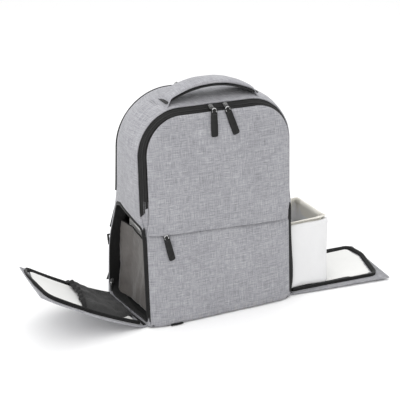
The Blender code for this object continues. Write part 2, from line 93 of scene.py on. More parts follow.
# ---- camera, floor and light ----
def make_stage():
    camera = bpy.data.cameras.new("camera")
    camera.lens = 97.98
    camera.sensor_width = 36.0
    eye = bpy.data.objects.new("camera", camera)
    eye.location = (-0.908, -1.7435, 0.8838)
    eye.rotation_euler = (math.radians(90 - 19.07), 0.0, math.radians(-27.32))
    bpy.context.scene.collection.objects.link(eye)
    bpy.context.scene.camera = eye

    floor_mesh = bpy.data.meshes.new("floor")
    floor_mesh.from_pydata([(-8, -8, 0), (8, -8, 0), (8, 8, 0), (-8, 8, 0)], [], [(0, 1, 2, 3)])
    floor = bpy.data.objects.new("floor", floor_mesh)
    bpy.context.scene.collection.objects.link(floor)
    paint = bpy.data.materials.new("floor_white")
    paint.use_nodes = True
    shader = paint.node_tree.nodes["Principled BSDF"]
    shader.inputs["Base Color"].default_value = (0.97, 0.97, 0.97, 1)
    shader.inputs["Roughness"].default_value = 0.9
    floor_mesh.materials.append(paint)

    world = bpy.data.worlds.new("studio")
    bpy.context.scene.world = world
    world.use_nodes = True
    sky = world.node_tree.nodes["Background"]
    sky.inputs["Color"].default_value = (1.0, 1.0, 1.0, 1)
    sky.inputs["Strength"].default_value = 1.0
    for name, place, aim, size, power in (
            ("key", (-1.3, -0.9, 1.9), (0.0, 0.0, 0.2), 1.4, 15.0),
            ("top", (0.2, 0.6, 2.2), (0.0, 0.0, 0.2), 1.8, 12.0),
            ("fill", (1.6, -1.6, 1.0), (0.0, 0.0, 0.2), 1.6, 3.0)):
        light = bpy.data.lights.new(name, "AREA")
        light.size = size
        light.energy = power
        lamp = bpy.data.objects.new(name, light)
        lamp.location = place
        lamp.rotation_euler = (Vector(aim) - Vector(place)).to_track_quat("-Z", "Y").to_euler()
        bpy.context.scene.collection.objects.link(lamp)
    bpy.context.scene.view_settings.view_transform = "Standard"


# ---- materials ----
class Shader:
    """A material under construction; its methods add nodes and give back their outputs."""

    def __init__(self, name, roughness, metallic=0.0, sheen=0.0, gloss=0.5):
        self.material = bpy.data.materials.new(name)
        self.material.use_nodes = True
        self.tree = self.material.node_tree
        self.surface = self.tree.nodes["Principled BSDF"]
        self.surface.inputs["Roughness"].default_value = roughness
        self.surface.inputs["Metallic"].default_value = metallic
        self.surface.inputs["Specular IOR Level"].default_value = gloss
        self.surface.inputs["Sheen Weight"].default_value = sheen
        self.surface.inputs["Sheen Roughness"].default_value = 0.5

    def add(self, kind, inputs=(), **settings):
        node = self.tree.nodes.new(kind)
        for key, value in settings.items():
            setattr(node, key, value)
        for key, value in dict(inputs).items():
            if isinstance(value, bpy.types.NodeSocket):
                self.tree.links.new(value, node.inputs[key])
            else:
                node.inputs[key].default_value = value
        return node

    def place(self, uv):
        """Cloth coordinates in metres: the weave map, or the piece's own space."""
        if uv:
            return self.add("ShaderNodeUVMap", uv_map="weave").outputs["UV"]
        return self.add("ShaderNodeTexCoord").outputs["Object"]

    def stretched(self, place, scale, detail=2.0, rough=0.5, turn=0.0):
        spread = self.add("ShaderNodeMapping", {"Vector": place, "Scale": scale, "Rotation": (0, 0, turn)})
        made = self.add("ShaderNodeTexNoise", {"Vector": spread.outputs["Vector"], "Scale": 1.0,
                                               "Detail": detail, "Roughness": rough})
        return made.outputs["Fac"]

    def math(self, operation, a, b=0.0):
        return self.add("ShaderNodeMath", {0: a, 1: b}, operation=operation).outputs[0]

    def weighted(self, terms):
        """The sum of weight * (value - 0.5) over (value, weight), plus 0.5."""
        total = None
        for value, weight in terms:
            part = self.math("MULTIPLY", self.math("SUBTRACT", value, 0.5), weight)
            total = part if total is None else self.math("ADD", total, part)
        return self.math("ADD", total, 0.5)

    def ramp(self, value, stops):
        node = self.add("ShaderNodeValToRGB", {"Fac": value})
        ramp = node.color_ramp
        while len(ramp.elements) < len(stops):
            ramp.elements.new(0.5)
        for element, (where, colour) in zip(ramp.elements, stops):
            element.position = where
            element.color = (*colour, 1.0)
        return node.outputs["Color"]

    def colour(self, socket):
        self.tree.links.new(socket, self.surface.inputs["Base Color"])

    def bump(self, height, distance, strength=1.0):
        node = self.add("ShaderNodeBump", {"Height": height, "Distance": distance, "Strength": strength})
        self.tree.links.new(node.outputs["Normal"], self.surface.inputs["Normal"])

    def threads(self, place, pitch):
        """Height of a plain weave with that thread pitch, from 0 to 1."""
        parts = self.add("ShaderNodeSeparateXYZ", {"Vector": place})
        rate = 2 * math.pi / pitch
        across = self.math("SINE", self.math("MULTIPLY", parts.outputs["X"], rate))
        along = self.math("SINE", self.math("MULTIPLY", parts.outputs["Y"], rate))
        return self.math("ADD", self.math("MULTIPLY", self.math("MULTIPLY", across, along), 0.5), 0.5)


def grey(value, tint=0.0):
    return (value, value, value * (1 + tint))


def make_heather(name, lightness=1.0):
    """Linen-look melange: short pale and dark slubs both ways over a fine plain weave."""
    s = Shader(name, 0.92, sheen=0.15, gloss=0.2)
    place = s.place(True)
    across = s.stretched(place, (60, 1150, 1), 2.5, 0.6)
    along = s.stretched(place, (1150, 60, 1), 2.5, 0.6)
    long_across = s.stretched(place, (16, 520, 1), 1.0)
    long_along = s.stretched(place, (520, 16, 1), 1.0)
    speck = s.stretched(place, (1300, 1300, 1), 1.0)
    cloud = s.stretched(place, (11, 11, 1), 3.0)
    value = s.weighted(((across, 0.95), (along, 0.85), (long_across, 0.34), (long_along, 0.26),
                        (speck, 0.6), (cloud, 0.22)))
    # A lightness above 1 makes a painted-lit copy of the same fabric: painted light for the faces the lamps catch most.
    k = 0.80 * lightness
    s.colour(s.ramp(value, ((0.10, (0.17 * k, 0.17 * k, 0.185 * k)), (0.42, (0.34 * k, 0.34 * k, 0.365 * k)),
                            (0.60, (0.44 * k, 0.44 * k, 0.465 * k)), (0.92, (0.68 * k, 0.68 * k, 0.70 * k)))))
    s.bump(s.math("ADD", s.threads(place, 1.5 * MM), s.math("MULTIPLY", value, 1.2)), 0.25 * MM, 0.8)
    return s.material


def make_tape(name, value=0.032, uv=True, pitch=1.1 * MM, roughness=0.62):
    """Zip tape, binding and webbing: a fine rib with a faint worn lightness."""
    s = Shader(name, roughness, sheen=0.02, gloss=0.16)
    place = s.place(uv)
    wear = s.stretched(place, (60, 60, 60), 3.0)
    fine = s.stretched(place, (1100, 1100, 1100), 1.0)
    tone = s.weighted(((wear, 0.8), (fine, 0.7)))
    s.colour(s.ramp(tone, ((0.25, grey(value * 0.7)), (0.55, grey(value)), (0.85, grey(value * 1.6)))))
    s.bump(s.threads(place, pitch), 0.12 * MM, 0.7)
    return s.material


def make_coil(name):
    """The nylon coil of a zip: close ribs across its length, with painted shade in the grooves between them."""
    s = Shader(name, 0.42, gloss=0.25)
    place = s.place(True)
    parts = s.add("ShaderNodeSeparateXYZ", {"Vector": place})
    ribs = s.math("SINE", s.math("MULTIPLY", parts.outputs["X"], 2 * math.pi / (1.6 * MM)))
    ribs = s.math("ADD", s.math("MULTIPLY", ribs, 0.5), 0.5)
    # Colour follows the rib height: painted shade darkens the grooves between the ribs.
    s.colour(s.ramp(ribs, ((0.1, grey(0.008)), (0.8, grey(0.034)))))
    s.bump(ribs, 0.4 * MM, 0.9)
    return s.material


def make_lining(name, colour, spread, roughness, crease=0.5, sheen=0.15):
    """A smooth closely woven lining with soft creases."""
    s = Shader(name, roughness, sheen=sheen)
    place = s.place(False)
    cloud = s.stretched(place, (28, 28, 28), 3.0)
    fine = s.stretched(place, (1300, 1300, 1300), 1.0)
    tone = s.weighted(((cloud, 0.9), (fine, 0.35)))
    dark = tuple(channel * (1 - spread) for channel in colour)
    light = tuple(min(channel * (1 + spread * 0.5), 1.0) for channel in colour)
    s.colour(s.ramp(tone, ((0.2, dark), (0.5, colour), (0.85, light))))
    folds = s.stretched(place, (70, 70, 45), 2.0, 0.55)
    s.bump(s.math("ADD", s.math("MULTIPLY", folds, 2.0), s.math("MULTIPLY", fine, 0.12)), 1.0 * MM, crease)
    return s.material


def make_net(name, value=0.045):
    """Open knit net over a dark ground: small cells in a staggered grid."""
    s = Shader(name, 0.75, sheen=0.06, gloss=0.2)
    place = s.place(False)
    cells = s.add("ShaderNodeTexVoronoi", {"Vector": place, "Scale": 520.0, "Randomness": 0.25},
                  feature="F1")
    shade = s.stretched(place, (40, 40, 40), 2.0)
    hole = cells.outputs["Distance"]
    s.colour(s.ramp(s.weighted(((hole, 0.9), (shade, 0.5))),
                    ((0.15, grey(value * 0.35)), (0.45, grey(value * 1.5)), (0.8, grey(value * 2.3)))))
    s.bump(hole, 0.7 * MM, 0.7)
    return s.material


def make_metal(name, value=0.18):
    s = Shader(name, 0.3, metallic=1.0)
    place = s.place(False)
    scuffs = s.stretched(place, (900, 300, 300), 2.0)
    s.colour(s.ramp(scuffs, ((0.3, grey(value * 0.7)), (0.7, grey(value * 1.5)))))
    s.bump(scuffs, 0.05 * MM, 0.5)
    return s.material


def make_rubber(name, value=0.010):
    """Moulded puller with a fine grain."""
    s = Shader(name, 0.5, gloss=0.22)
    place = s.place(False)
    grain = s.stretched(place, (1600, 1600, 1600), 2.0)
    wear = s.stretched(place, (160, 160, 160), 3.0)
    s.colour(s.ramp(wear, ((0.3, grey(value * 0.7)), (0.75, grey(value * 1.5)))))
    s.bump(grain, 0.12 * MM, 0.8)
    return s.material


HEATHER = make_heather("heather")
# A lighter copy of the front's heather for the shell's sides and top and for the handle: painted light, standing in for
# the stronger light on those faces.
HEATHER_PAINTED_LIT = make_heather("heather_painted_lit", 1.10)
TAPE = make_tape("zip_tape", 0.013)
GUSSET = make_tape("zip_gusset", 0.019, pitch=1.4 * MM)
WEBBING = make_tape("webbing", 0.015, uv=False, pitch=2.2 * MM, roughness=0.7)
COIL = make_coil("zip_coil")
WHITE = make_lining("white_lining", (0.74, 0.74, 0.725), 0.03, 0.75, 0.3)
WHITE_PAD = make_lining("white_padding", (0.70, 0.70, 0.705), 0.03, 0.8, 0.4)
CREAM = make_lining("cream_lining", (0.74, 0.72, 0.66), 0.07, 0.85, 0.6)
TAUPE = make_lining("taupe_lining", (0.115, 0.105, 0.098), 0.18, 0.5, 0.8, sheen=0.3)
NET = make_net("pocket_net", 0.026)
AIR_MESH = make_net("back_air_mesh", 0.018)
METAL = make_metal("dark_metal")
BRIGHT = make_metal("bright_metal", 0.62)
RUBBER = make_rubber("puller_rubber")
THREAD = make_tape("thread", 0.10, uv=False, pitch=0.8 * MM)
PALE_THREAD = make_tape("pale_thread", 0.34, uv=False, pitch=0.8 * MM, roughness=0.85)


# ---- mesh tools ----
def smooth_step(t):
    t = min(max(t, 0.0), 1.0)
    return t * t * (3.0 - 2.0 * t)


def mix(a, b, t):
    return a + (b - a) * t


def through(values, s):
    """The quadratic that takes the three values at s = 0, 0.5 and 1."""
    first, middle, last = values
    return first * (1 - s) * (1 - 2 * s) + 4 * middle * s * (1 - s) + last * s * (2 * s - 1)


def steps(count, start=0.0, end=1.0):
    return [mix(start, end, index / (count - 1)) for index in range(count)]


def ripple(x, y, z, size, seed=0.0):
    """Smooth noise between about -1 and 1, with features of that size."""
    return noise.noise(Vector((x / size + seed, y / size - seed, z / size + 2 * seed)))


def link(name, mesh, surface):
    piece = bpy.data.objects.new(name, mesh)
    bpy.context.scene.collection.objects.link(piece)
    if surface:
        mesh.materials.append(surface)
    mesh.shade_smooth()
    return piece


def lengths(points):
    total = [0.0]
    for first, second in zip(points, points[1:]):
        total.append(total[-1] + (second - first).length)
    return total


def grid(name, rows, surface, uv=None, wrap=False):
    """A quad sheet through rows of points; uv gives (u, v) in metres for a point's row and column."""
    across = len(rows[0])
    points = [point for row in rows for point in row]
    faces, corners = [], []
    if uv is None:
        row_lengths = [lengths(list(row) + ([row[0]] if wrap else [])) for row in rows]
        column_lengths = [lengths([row[min(column, across - 1)] for row in rows])
                          for column in range(across + 1)]

        def uv(r, c):
            return row_lengths[r][c], column_lengths[c][r]
    for r in range(len(rows) - 1):
        for c in range(across if wrap else across - 1):
            after = (c + 1) % across
            faces.append((r * across + c, r * across + after, (r + 1) * across + after, (r + 1) * across + c))
            corners += [uv(r, c), uv(r, c + 1), uv(r + 1, c + 1), uv(r + 1, c)]
    mesh = bpy.data.meshes.new(name)
    mesh.from_pydata(points, [], faces)
    layer = mesh.uv_layers.new(name="weave")
    layer.data.foreach_set("uv", [value for corner in corners for value in corner])
    return link(name, mesh, surface)


def thicken(piece, thickness, offset=-1.0, edge=0.0):
    """Gives a sheet its thickness; offset -1 grows it behind its face."""
    solid = piece.modifiers.new("thickness", "SOLIDIFY")
    solid.thickness = thickness
    solid.offset = offset
    solid.use_even_offset = False
    if edge:
        rounding = piece.modifiers.new("edge", "BEVEL")
        rounding.width = edge
        rounding.segments = 2
        rounding.limit_method = "ANGLE"
        rounding.angle_limit = math.radians(60)
    return piece


def settle(piece):
    """Replaces the piece's mesh by what its modifiers make of it."""
    bpy.context.view_layer.update()
    seen = piece.evaluated_get(bpy.context.evaluated_depsgraph_get())
    mesh = bpy.data.meshes.new_from_object(seen)
    piece.modifiers.clear()
    piece.data = mesh
    mesh.shade_smooth()
    return piece


def keep_faces_out(mesh):
    work = bmesh.new()
    work.from_mesh(mesh)
    bmesh.ops.recalc_face_normals(work, faces=work.faces)
    if work.calc_volume(signed=True) < 0:
        bmesh.ops.reverse_faces(work, faces=work.faces)
    work.to_mesh(mesh)
    work.free()


def loft(name, sections, surface, closed=False):
    """A closed tube through rings of points, with its ends filled; u runs along it and v round it."""
    count = len(sections[0])
    ring_of = [list(section) + [section[0]] for section in sections]
    along = lengths([sum(section, Vector()) / count for section in sections])
    rounds = [lengths(ring) for ring in ring_of]
    piece = grid(name, sections, surface, uv=lambda r, c: (along[r], rounds[r][c]), wrap=True)
    work = bmesh.new()
    work.from_mesh(piece.data)
    work.verts.ensure_lookup_table()
    if closed:
        last = len(sections) - 1
        for c in range(count):
            after = (c + 1) % count
            work.faces.new([work.verts[last * count + c], work.verts[last * count + after],
                            work.verts[after], work.verts[c]])
    else:
        work.faces.new([work.verts[c] for c in range(count)])
        last = (len(sections) - 1) * count
        work.faces.new([work.verts[last + c] for c in range(count)])
    work.to_mesh(piece.data)
    work.free()
    keep_faces_out(piece.data)
    piece.data.shade_smooth()
    piece.data.set_sharp_from_angle(angle=math.radians(50))
    return piece


def frames_along(path, up):
    """(point, side, up) at each point of a path, with side across it and up near the given one."""
    out = []
    for index, point in enumerate(path):
        ahead = path[min(index + 1, len(path) - 1)] - path[max(index - 1, 0)]
        ahead.normalize()
        wish = up(index) if callable(up) else up
        side = ahead.cross(wish).normalized()
        out.append((point, side, side.cross(ahead).normalized()))
    return out


def profile_along(name, path, up, profile, surface):
    """Sweeps a closed profile of (side, up) offsets, which may depend on the place along the path."""
    sections = []
    for index, (point, side, above) in enumerate(frames_along(path, up)):
        shape = profile(index / (len(path) - 1)) if callable(profile) else profile
        sections.append([point + side * a + above * b for a, b in shape])
    return loft(name, sections, surface)


def oval(width, height, count=10, lift=0.0):
    return [(width / 2 * math.cos(2 * math.pi * k / count), lift + height / 2 * math.sin(2 * math.pi * k / count))
            for k in range(count)]


def cord_along(name, path, radius, surface, up=Vector((0, 0, 1)), count=8):
    return profile_along(name, path, up, oval(2 * radius, 2 * radius, count), surface)


def stitches(name, path, normal, surface, length=2.6 * MM, gap=1.3 * MM, radius=0.28 * MM):
    """A row of short raised threads along a path, joined into one piece."""
    total = lengths(path)
    work = bmesh.new()
    reach = 0.0
    normal_at = normal if callable(normal) else (lambda where: normal)

    def at(distance):
        for index in range(len(path) - 1):
            if total[index + 1] >= distance:
                part = (distance - total[index]) / max(total[index + 1] - total[index], 1e-9)
                return path[index].lerp(path[index + 1], part)
        return path[-1]
    while reach + length < total[-1]:
        first, second = at(reach), at(reach + length)
        along = (second - first).normalized()
        up = normal_at((first + second) / 2).normalized()
        side = along.cross(up).normalized()
        rings = []
        for part, size in ((0.0, 0.5), (0.2, 1.0), (0.8, 1.0), (1.0, 0.5)):
            centre = first.lerp(second, part) + up * radius * 0.6 * size
            rings.append([work.verts.new(centre + side * radius * size * math.cos(a) + up * radius * size * math.sin(a))
                          for a in (math.radians(60 * k) for k in range(6))])
        for one, two in zip(rings, rings[1:]):
            for k in range(6):
                work.faces.new((one[k], one[(k + 1) % 6], two[(k + 1) % 6], two[k]))
        work.faces.new(rings[0][::-1])
        work.faces.new(rings[-1])
        reach += length + gap
    bmesh.ops.recalc_face_normals(work, faces=work.faces)
    mesh = bpy.data.meshes.new(name)
    work.to_mesh(mesh)
    work.free()
    return link(name, mesh, surface)


def smooth_path(points, count):
    """A Catmull-Rom curve through the points, with count samples."""
    padded = [2 * points[0] - points[1], *points, 2 * points[-1] - points[-2]]
    out = []
    for place in steps(count, 0.0, len(points) - 1):
        index = min(int(place), len(points) - 2)
        t = place - index
        a, b, c, d = padded[index:index + 4]
        out.append(0.5 * (2 * b + (c - a) * t + (2 * a - 5 * b + 4 * c - d) * t * t
                          + (3 * b - a - 3 * c + d) * t ** 3))
    return out


def rounded_corners(corners, arc=8, straight=12 * MM):
    """A path of 2-D points through (x, y, radius) corners, with arcs at the corners."""
    knots = []
    last = len(corners) - 1
    for index, (x, y, radius) in enumerate(corners):
        here = Vector((x, y))
        if radius == 0 or index in (0, last):
            knots.append([here])
            continue
        back = (Vector(corners[index - 1][:2]) - here).normalized()
        ahead = (Vector(corners[index + 1][:2]) - here).normalized()
        half_angle = back.angle(ahead) / 2
        reach = radius / math.tan(half_angle)
        centre = here + (back + ahead).normalized() * (radius / math.sin(half_angle))
        start = (here + back * reach - centre).normalized()
        end = (here + ahead * reach - centre).normalized()
        knots.append([centre + start.slerp(end, step / arc) * radius for step in range(arc + 1)])
    path = [knots[0][0]]
    for run in knots[1:]:
        gap = (run[0] - path[-1]).length
        count = max(int(gap / straight), 1)
        path += [path[-1].lerp(run[0], (k + 1) / count) for k in range(count)]
        path += run[1:]
    return path


def shifted(path, distance):
    moved = []
    for index, point in enumerate(path):
        along = (path[min(index + 1, len(path) - 1)] - path[max(index - 1, 0)]).normalized()
        moved.append(point + Vector((along.y, -along.x)) * distance)
    return moved


def swell(piece, voxel, pressure, cap, frames=20):
    """Padding by cloth simulation: remesh, inflate under pressure, cap the movement, smooth once."""
    remesh = piece.modifiers.new("remesh", "REMESH")
    remesh.mode = "VOXEL"
    remesh.voxel_size = voxel
    settle(piece)
    start = [vertex.co.copy() for vertex in piece.data.vertices]
    cloth = piece.modifiers.new("cloth", "CLOTH")
    cloth.settings.use_pressure = True
    cloth.settings.uniform_pressure_force = pressure
    cloth.settings.effector_weights.gravity = 0.0
    cloth.settings.mass = 0.3
    cloth.settings.quality = 5
    scene = bpy.context.scene
    for step in range(1, frames + 1):
        scene.frame_set(step)
    settle(piece)
    scene.frame_set(1)
    for vertex, was in zip(piece.data.vertices, start):
        move = vertex.co - was
        if move.length > cap:
            vertex.co = was + move.normalized() * cap
    relax = piece.modifiers.new("relax", "SMOOTH")
    relax.iterations = 2
    relax.factor = 0.5
    finer = piece.modifiers.new("finer", "SUBSURF")
    finer.levels = 1
    finer.render_levels = 1
    return settle(piece)


# ---- the bag's outer form, as in the frame ----
def front_y(z):
    return FRONT_FOOT_Y + FRONT_LEAN * z


def shell_y(s, z):
    low_front = front_y(z) + 8.5 * MM
    high_front = -66 * MM + 0.055 * z
    front = mix(low_front, high_front, smooth_step((z - 0.188) / 0.034))
    return mix(front, 100 * MM - 0.08 * z, s)


def shell_half(s, z):
    tuck = 6 * MM * max(1 - s, 0) * (1 - smooth_step((z - 0.16) / 0.06))
    flare = 16 * MM * s * s * (1 - smooth_step((z - 0.10) / 0.135))
    return through(SHELL_HALF, s) - tuck + flare


def arch_stations(foot, top, radius, spacing, side_steps=None):
    """(side, height or None, angle) round an arch, about that far apart."""
    wall = side_steps or max(int((top - radius - foot) / spacing), 2)
    turn = max(int(radius * math.pi / 2 / spacing), 4)
    left = [(-1, k / wall, 0.0) for k in range(wall + 1)]
    left += [(-1, 1.0, math.pi / 2 * k / turn) for k in range(1, turn + 1)]
    return left


def arch_ring(foot, spacing, top, radius, half_at, flat):
    """Points and outward normals (x, z) round an arch from its left foot to its right foot."""
    left = []
    for _, height, angle in arch_stations(foot, top, radius, spacing):
        z = mix(foot, top - radius, height) + radius * math.sin(angle)
        x = half_at(z) - radius * (1 - math.cos(angle))
        left.append((x, z, math.cos(angle), math.sin(angle)))
    ring = [(-x, z, -nx, nz) for x, z, nx, nz in left]
    end = left[-1][0]
    ring += [(mix(-end, end, k / flat), top, 0.0, 1.0) for k in range(1, flat)]
    ring += [(x, z, nx, nz) for x, z, nx, nz in reversed(left)]
    return ring


OPENING = (
    (-74 * MM, 8 * MM, 0.0),
    (-61.5 * MM, 192 * MM, 12 * MM),
    (-10 * MM, 203.5 * MM, 40 * MM),
    (38 * MM, 209 * MM, 30 * MM),
    (70 * MM, 199 * MM, 14 * MM),
    (82 * MM, 140 * MM, 60 * MM),
    (92 * MM, 8 * MM, 0.0),
)


OPENING_RIM = (                                      # the same, closed along a low sill
    (0.0, 9.5 * MM, 0.0),
    (-73.8 * MM, 9.5 * MM, 8 * MM),
    *OPENING[1:-1],
    (91.8 * MM, 9.5 * MM, 22 * MM),
    (0.0, 9.5 * MM, 0.0),
)


def wall_x(y, z):
    s = (y - shell_y(0, z)) / (shell_y(1, z) - shell_y(0, z))
    return shell_half(min(max(s, 0.0), 1.0), z)


def shell_puff(s, z):
    """How far the padded wall stands out of the frame's shell."""
    return 3.0 * MM * math.sin(math.pi * min(max(s, 0.0), 1.0)) ** 0.8 * smooth_step((z - 0.20) / 0.10)


def make_shell():
    depth_steps = steps(44)
    columns = []
    for s in depth_steps:
        top, radius = through(SHELL_TOP, s), through(SHELL_RADIUS, s)
        ring = arch_ring(SHELL_FOOT, 7 * MM, top, radius, lambda z: shell_half(s, z), 26)
        columns.append(ring)
    count = min(len(ring) for ring in columns)
    rows = []
    for index in range(count):
        row = []
        for s, ring in zip(depth_steps, columns):
            x, z, nx, nz = ring[round(index * (len(ring) - 1) / (count - 1))]
            y = shell_y(s, z)
            loose = math.sin(math.pi * s) * smooth_step((z - 0.20) / 0.06)
            out = shell_puff(s, z) + 1.3 * MM * ripple(x, y, z, 55 * MM, 3.1) * loose
            out += 0.8 * MM * ripple(x, y * 0.4, z, 22 * MM, 8.7) * loose
            row.append(Vector((x + nx * out, y, z + nz * out)))
        rows.append(row)
    # The sides and top take the painted-lit copy of the heather: painted light, not a paler fabric.
    shell = grid("shell_fabric", rows, HEATHER_PAINTED_LIT)
    thicken(shell, 3 * MM)
    settle(shell)
    keep_faces_out(shell.data)
    path = rounded_corners(OPENING_RIM)[:-1]
    cutter = loft("opening_cutter", [[Vector((x, *p)) for p in path] for x in (-0.2, 0.2)], None)
    cut = shell.modifiers.new("openings", "BOOLEAN")
    cut.object = cutter
    cut.solver = "EXACT"
    settle(shell)
    bpy.data.objects.remove(cutter)
    shell.data.set_sharp_from_angle(angle=math.radians(45))
    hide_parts("main_shell")
    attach(shell, "root")


# ---- front panels ----
def arch_distance(x, z, half, top, radius):
    """Distance in from the edge of an arched panel."""
    dx, dz = half - abs(x), top - z
    if dx < radius and dz < radius:
        return radius - math.hypot(radius - dx, radius - dz)
    return min(dx, dz)


def arch_half(z, half, top, radius):
    over = min(max(z - (top - radius), 0.0), radius)
    return half - radius + math.sqrt(max(radius * radius - over * over, 0.0))


def edge_roll(distance, reach, depth):
    return depth * max(1 - distance / reach, 0.0) ** 2


def flap_edge(x):
    """Lower edge of the rain flap, which hangs a little lower on the right."""
    return 174 * MM - 0.045 * x


def make_upper_front():
    fractions = steps(72, -1.0, 1.0)
    rows, places = [], []
    straight_top = PANEL_TOP - PANEL_RADIUS
    heights = [None] * 34
    for k in range(34 + 26):
        row, place = [], []
        for f in fractions:
            if k < 34:
                half = mix(POCKET_HALF - 1 * MM, PANEL_HALF - 0.5 * MM, smooth_step(k / 10))
                x = f * half
                z = mix(flap_edge(x), straight_top, k / 34)
            else:
                angle = math.pi / 2 * (k - 34) / 25
                z = straight_top + PANEL_RADIUS * math.sin(angle)
                x = f * (arch_half(z, PANEL_HALF, PANEL_TOP, PANEL_RADIUS) - 0.5 * MM)
            distance = arch_distance(x, z, PANEL_HALF, PANEL_TOP, PANEL_RADIUS)
            crown = 5.5 * MM * (1 - (x / PANEL_HALF) ** 2) * math.sin(math.pi * min(max((z - 0.15) / 0.25, 0), 1))
            below = smooth_step((0.205 - z) / 0.03)
            roll = edge_roll(distance, 9 * MM, 3.2 * MM) + below * edge_roll(POCKET_HALF - abs(x), 30 * MM, 7.5 * MM)
            fold = 1.7 * MM * ripple(x, 0, z, 70 * MM, 1.3) + 0.7 * MM * ripple(x, 0, z * 1.6, 28 * MM, 5.1)
            puff = 1.2 * MM * smooth_step((z - flap_edge(x)) / 0.006) - 0.4 * MM
            y = front_y(z) - crown + roll - fold * smooth_step(distance / 0.02) - puff * 0.5 - 1.2 * MM
            row.append(Vector((x, y, z)))
            place.append((x, z))
        rows.append(row)
        places.append(place)
    panel = grid("front_panel_fabric", rows, HEATHER, uv=lambda r, c: places[r][c])
    thicken(panel, 3 * MM, offset=1.0)
    settle(panel)
    keep_faces_out(panel.data)
    panel.data.set_sharp_from_angle(angle=math.radians(50))
    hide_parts("upper_front_panel", "rain_flap")
    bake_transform(panel)


def make_pocket():
    """The pocket below the rain flap, rounded back at its sides to meet the side walls."""
    rows, places = [], []
    for k in range(44):
        row, place = [], []
        for f in steps(80, -1.0, 1.0):
            x = f * POCKET_HALF
            z = mix(3.0 * MM, flap_edge(x) + 5 * MM, k / 43)
            side = POCKET_HALF - abs(x)
            roll = edge_roll(side, 30 * MM, 8.5 * MM) + edge_roll(z - 2 * MM, 12 * MM, 4.5 * MM)
            crown = 4.2 * MM * (1 - (x / POCKET_HALF) ** 2) * math.sin(math.pi * smooth_step(z / 0.19)) ** 0.7
            fold = 2.0 * MM * ripple(x, 0, z, 55 * MM, 2.2) + 0.9 * MM * ripple(x * 1.6, 0, z * 0.7, 26 * MM, 6.4)
            tuck = 3.4 * MM * smooth_step((z - flap_edge(x) + 8 * MM) / (8 * MM))
            y = front_y(z) - crown + roll - fold * smooth_step(side / 0.03) + tuck
            row.append(Vector((x, y, z)))
            place.append((x + 0.5, z + 0.3))
        rows.append(row)
        places.append(place)
    pocket = grid("pocket_fabric", rows, HEATHER, uv=lambda r, c: places[r][c])
    thicken(pocket, 2 * MM, offset=1.0)
    settle(pocket)
    keep_faces_out(pocket.data)
    pocket.data.set_sharp_from_angle(angle=math.radians(50))
    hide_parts("front_pocket_panel")
    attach(pocket, "root")


def band_rows(first, last, foot, spread):
    """Rows round the front arch between two fractions of the gusset, bulging by spread at the middle."""
    edge = 4 * MM
    rows = []
    for t in steps(9, first, last):
        top, radius = mix(PANEL_TOP, SHELL_TOP[0], t), mix(PANEL_RADIUS, SHELL_RADIUS[0], t)
        ring = arch_ring(foot + (10 * MM) * (1 - t), 6 * MM, top, radius,
                         lambda z: mix(PANEL_HALF, shell_half(0, z), t), 30)
        row = []
        for x, z, nx, nz in ring:
            y = mix(front_y(z) + edge, shell_y(0, z), t)
            out = spread * math.sin(math.pi * (t - first) / (last - first))
            row.append(Vector((x + nx * out, y, z + nz * out)))
        rows.append(row)
    count = min(len(row) for row in rows)
    return [[row[round(k * (len(row) - 1) / (count - 1))] for k in range(count)] for row in rows]


def make_front_zip():
    fixed = grid("front_gusset_tape", band_rows(0.50, 1.02, 0.214, 1.2 * MM), GUSSET)
    thicken(fixed, 1.6 * MM)
    moving = grid("front_panel_zip_tape", band_rows(0.02, 0.46, 0.222, 0.9 * MM), GUSSET)
    thicken(moving, 1.4 * MM)
    middle = band_rows(0.47, 0.49, 0.216, 0.0)[4]
    teeth = cord_along("front_zip_coil", [p + Vector((0, -0.4 * MM, 0)) for p in middle], 1.5 * MM, COIL,
                       up=Vector((0, 1, 0)))
    seam = band_rows(0.98, 1.04, 0.214, 0.0)[4]
    piping = cord_along("front_gusset_piping", seam, 1.3 * MM, TAPE, up=Vector((0, 1, 0)))
    for piece, body in ((fixed, "root"), (moving, "front_panel"), (teeth, "root"), (piping, "root")):
        if piece in (fixed, moving):
            settle(piece)
        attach(piece, body)
    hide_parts("front_gusset")
    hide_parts("front_zip_tape")


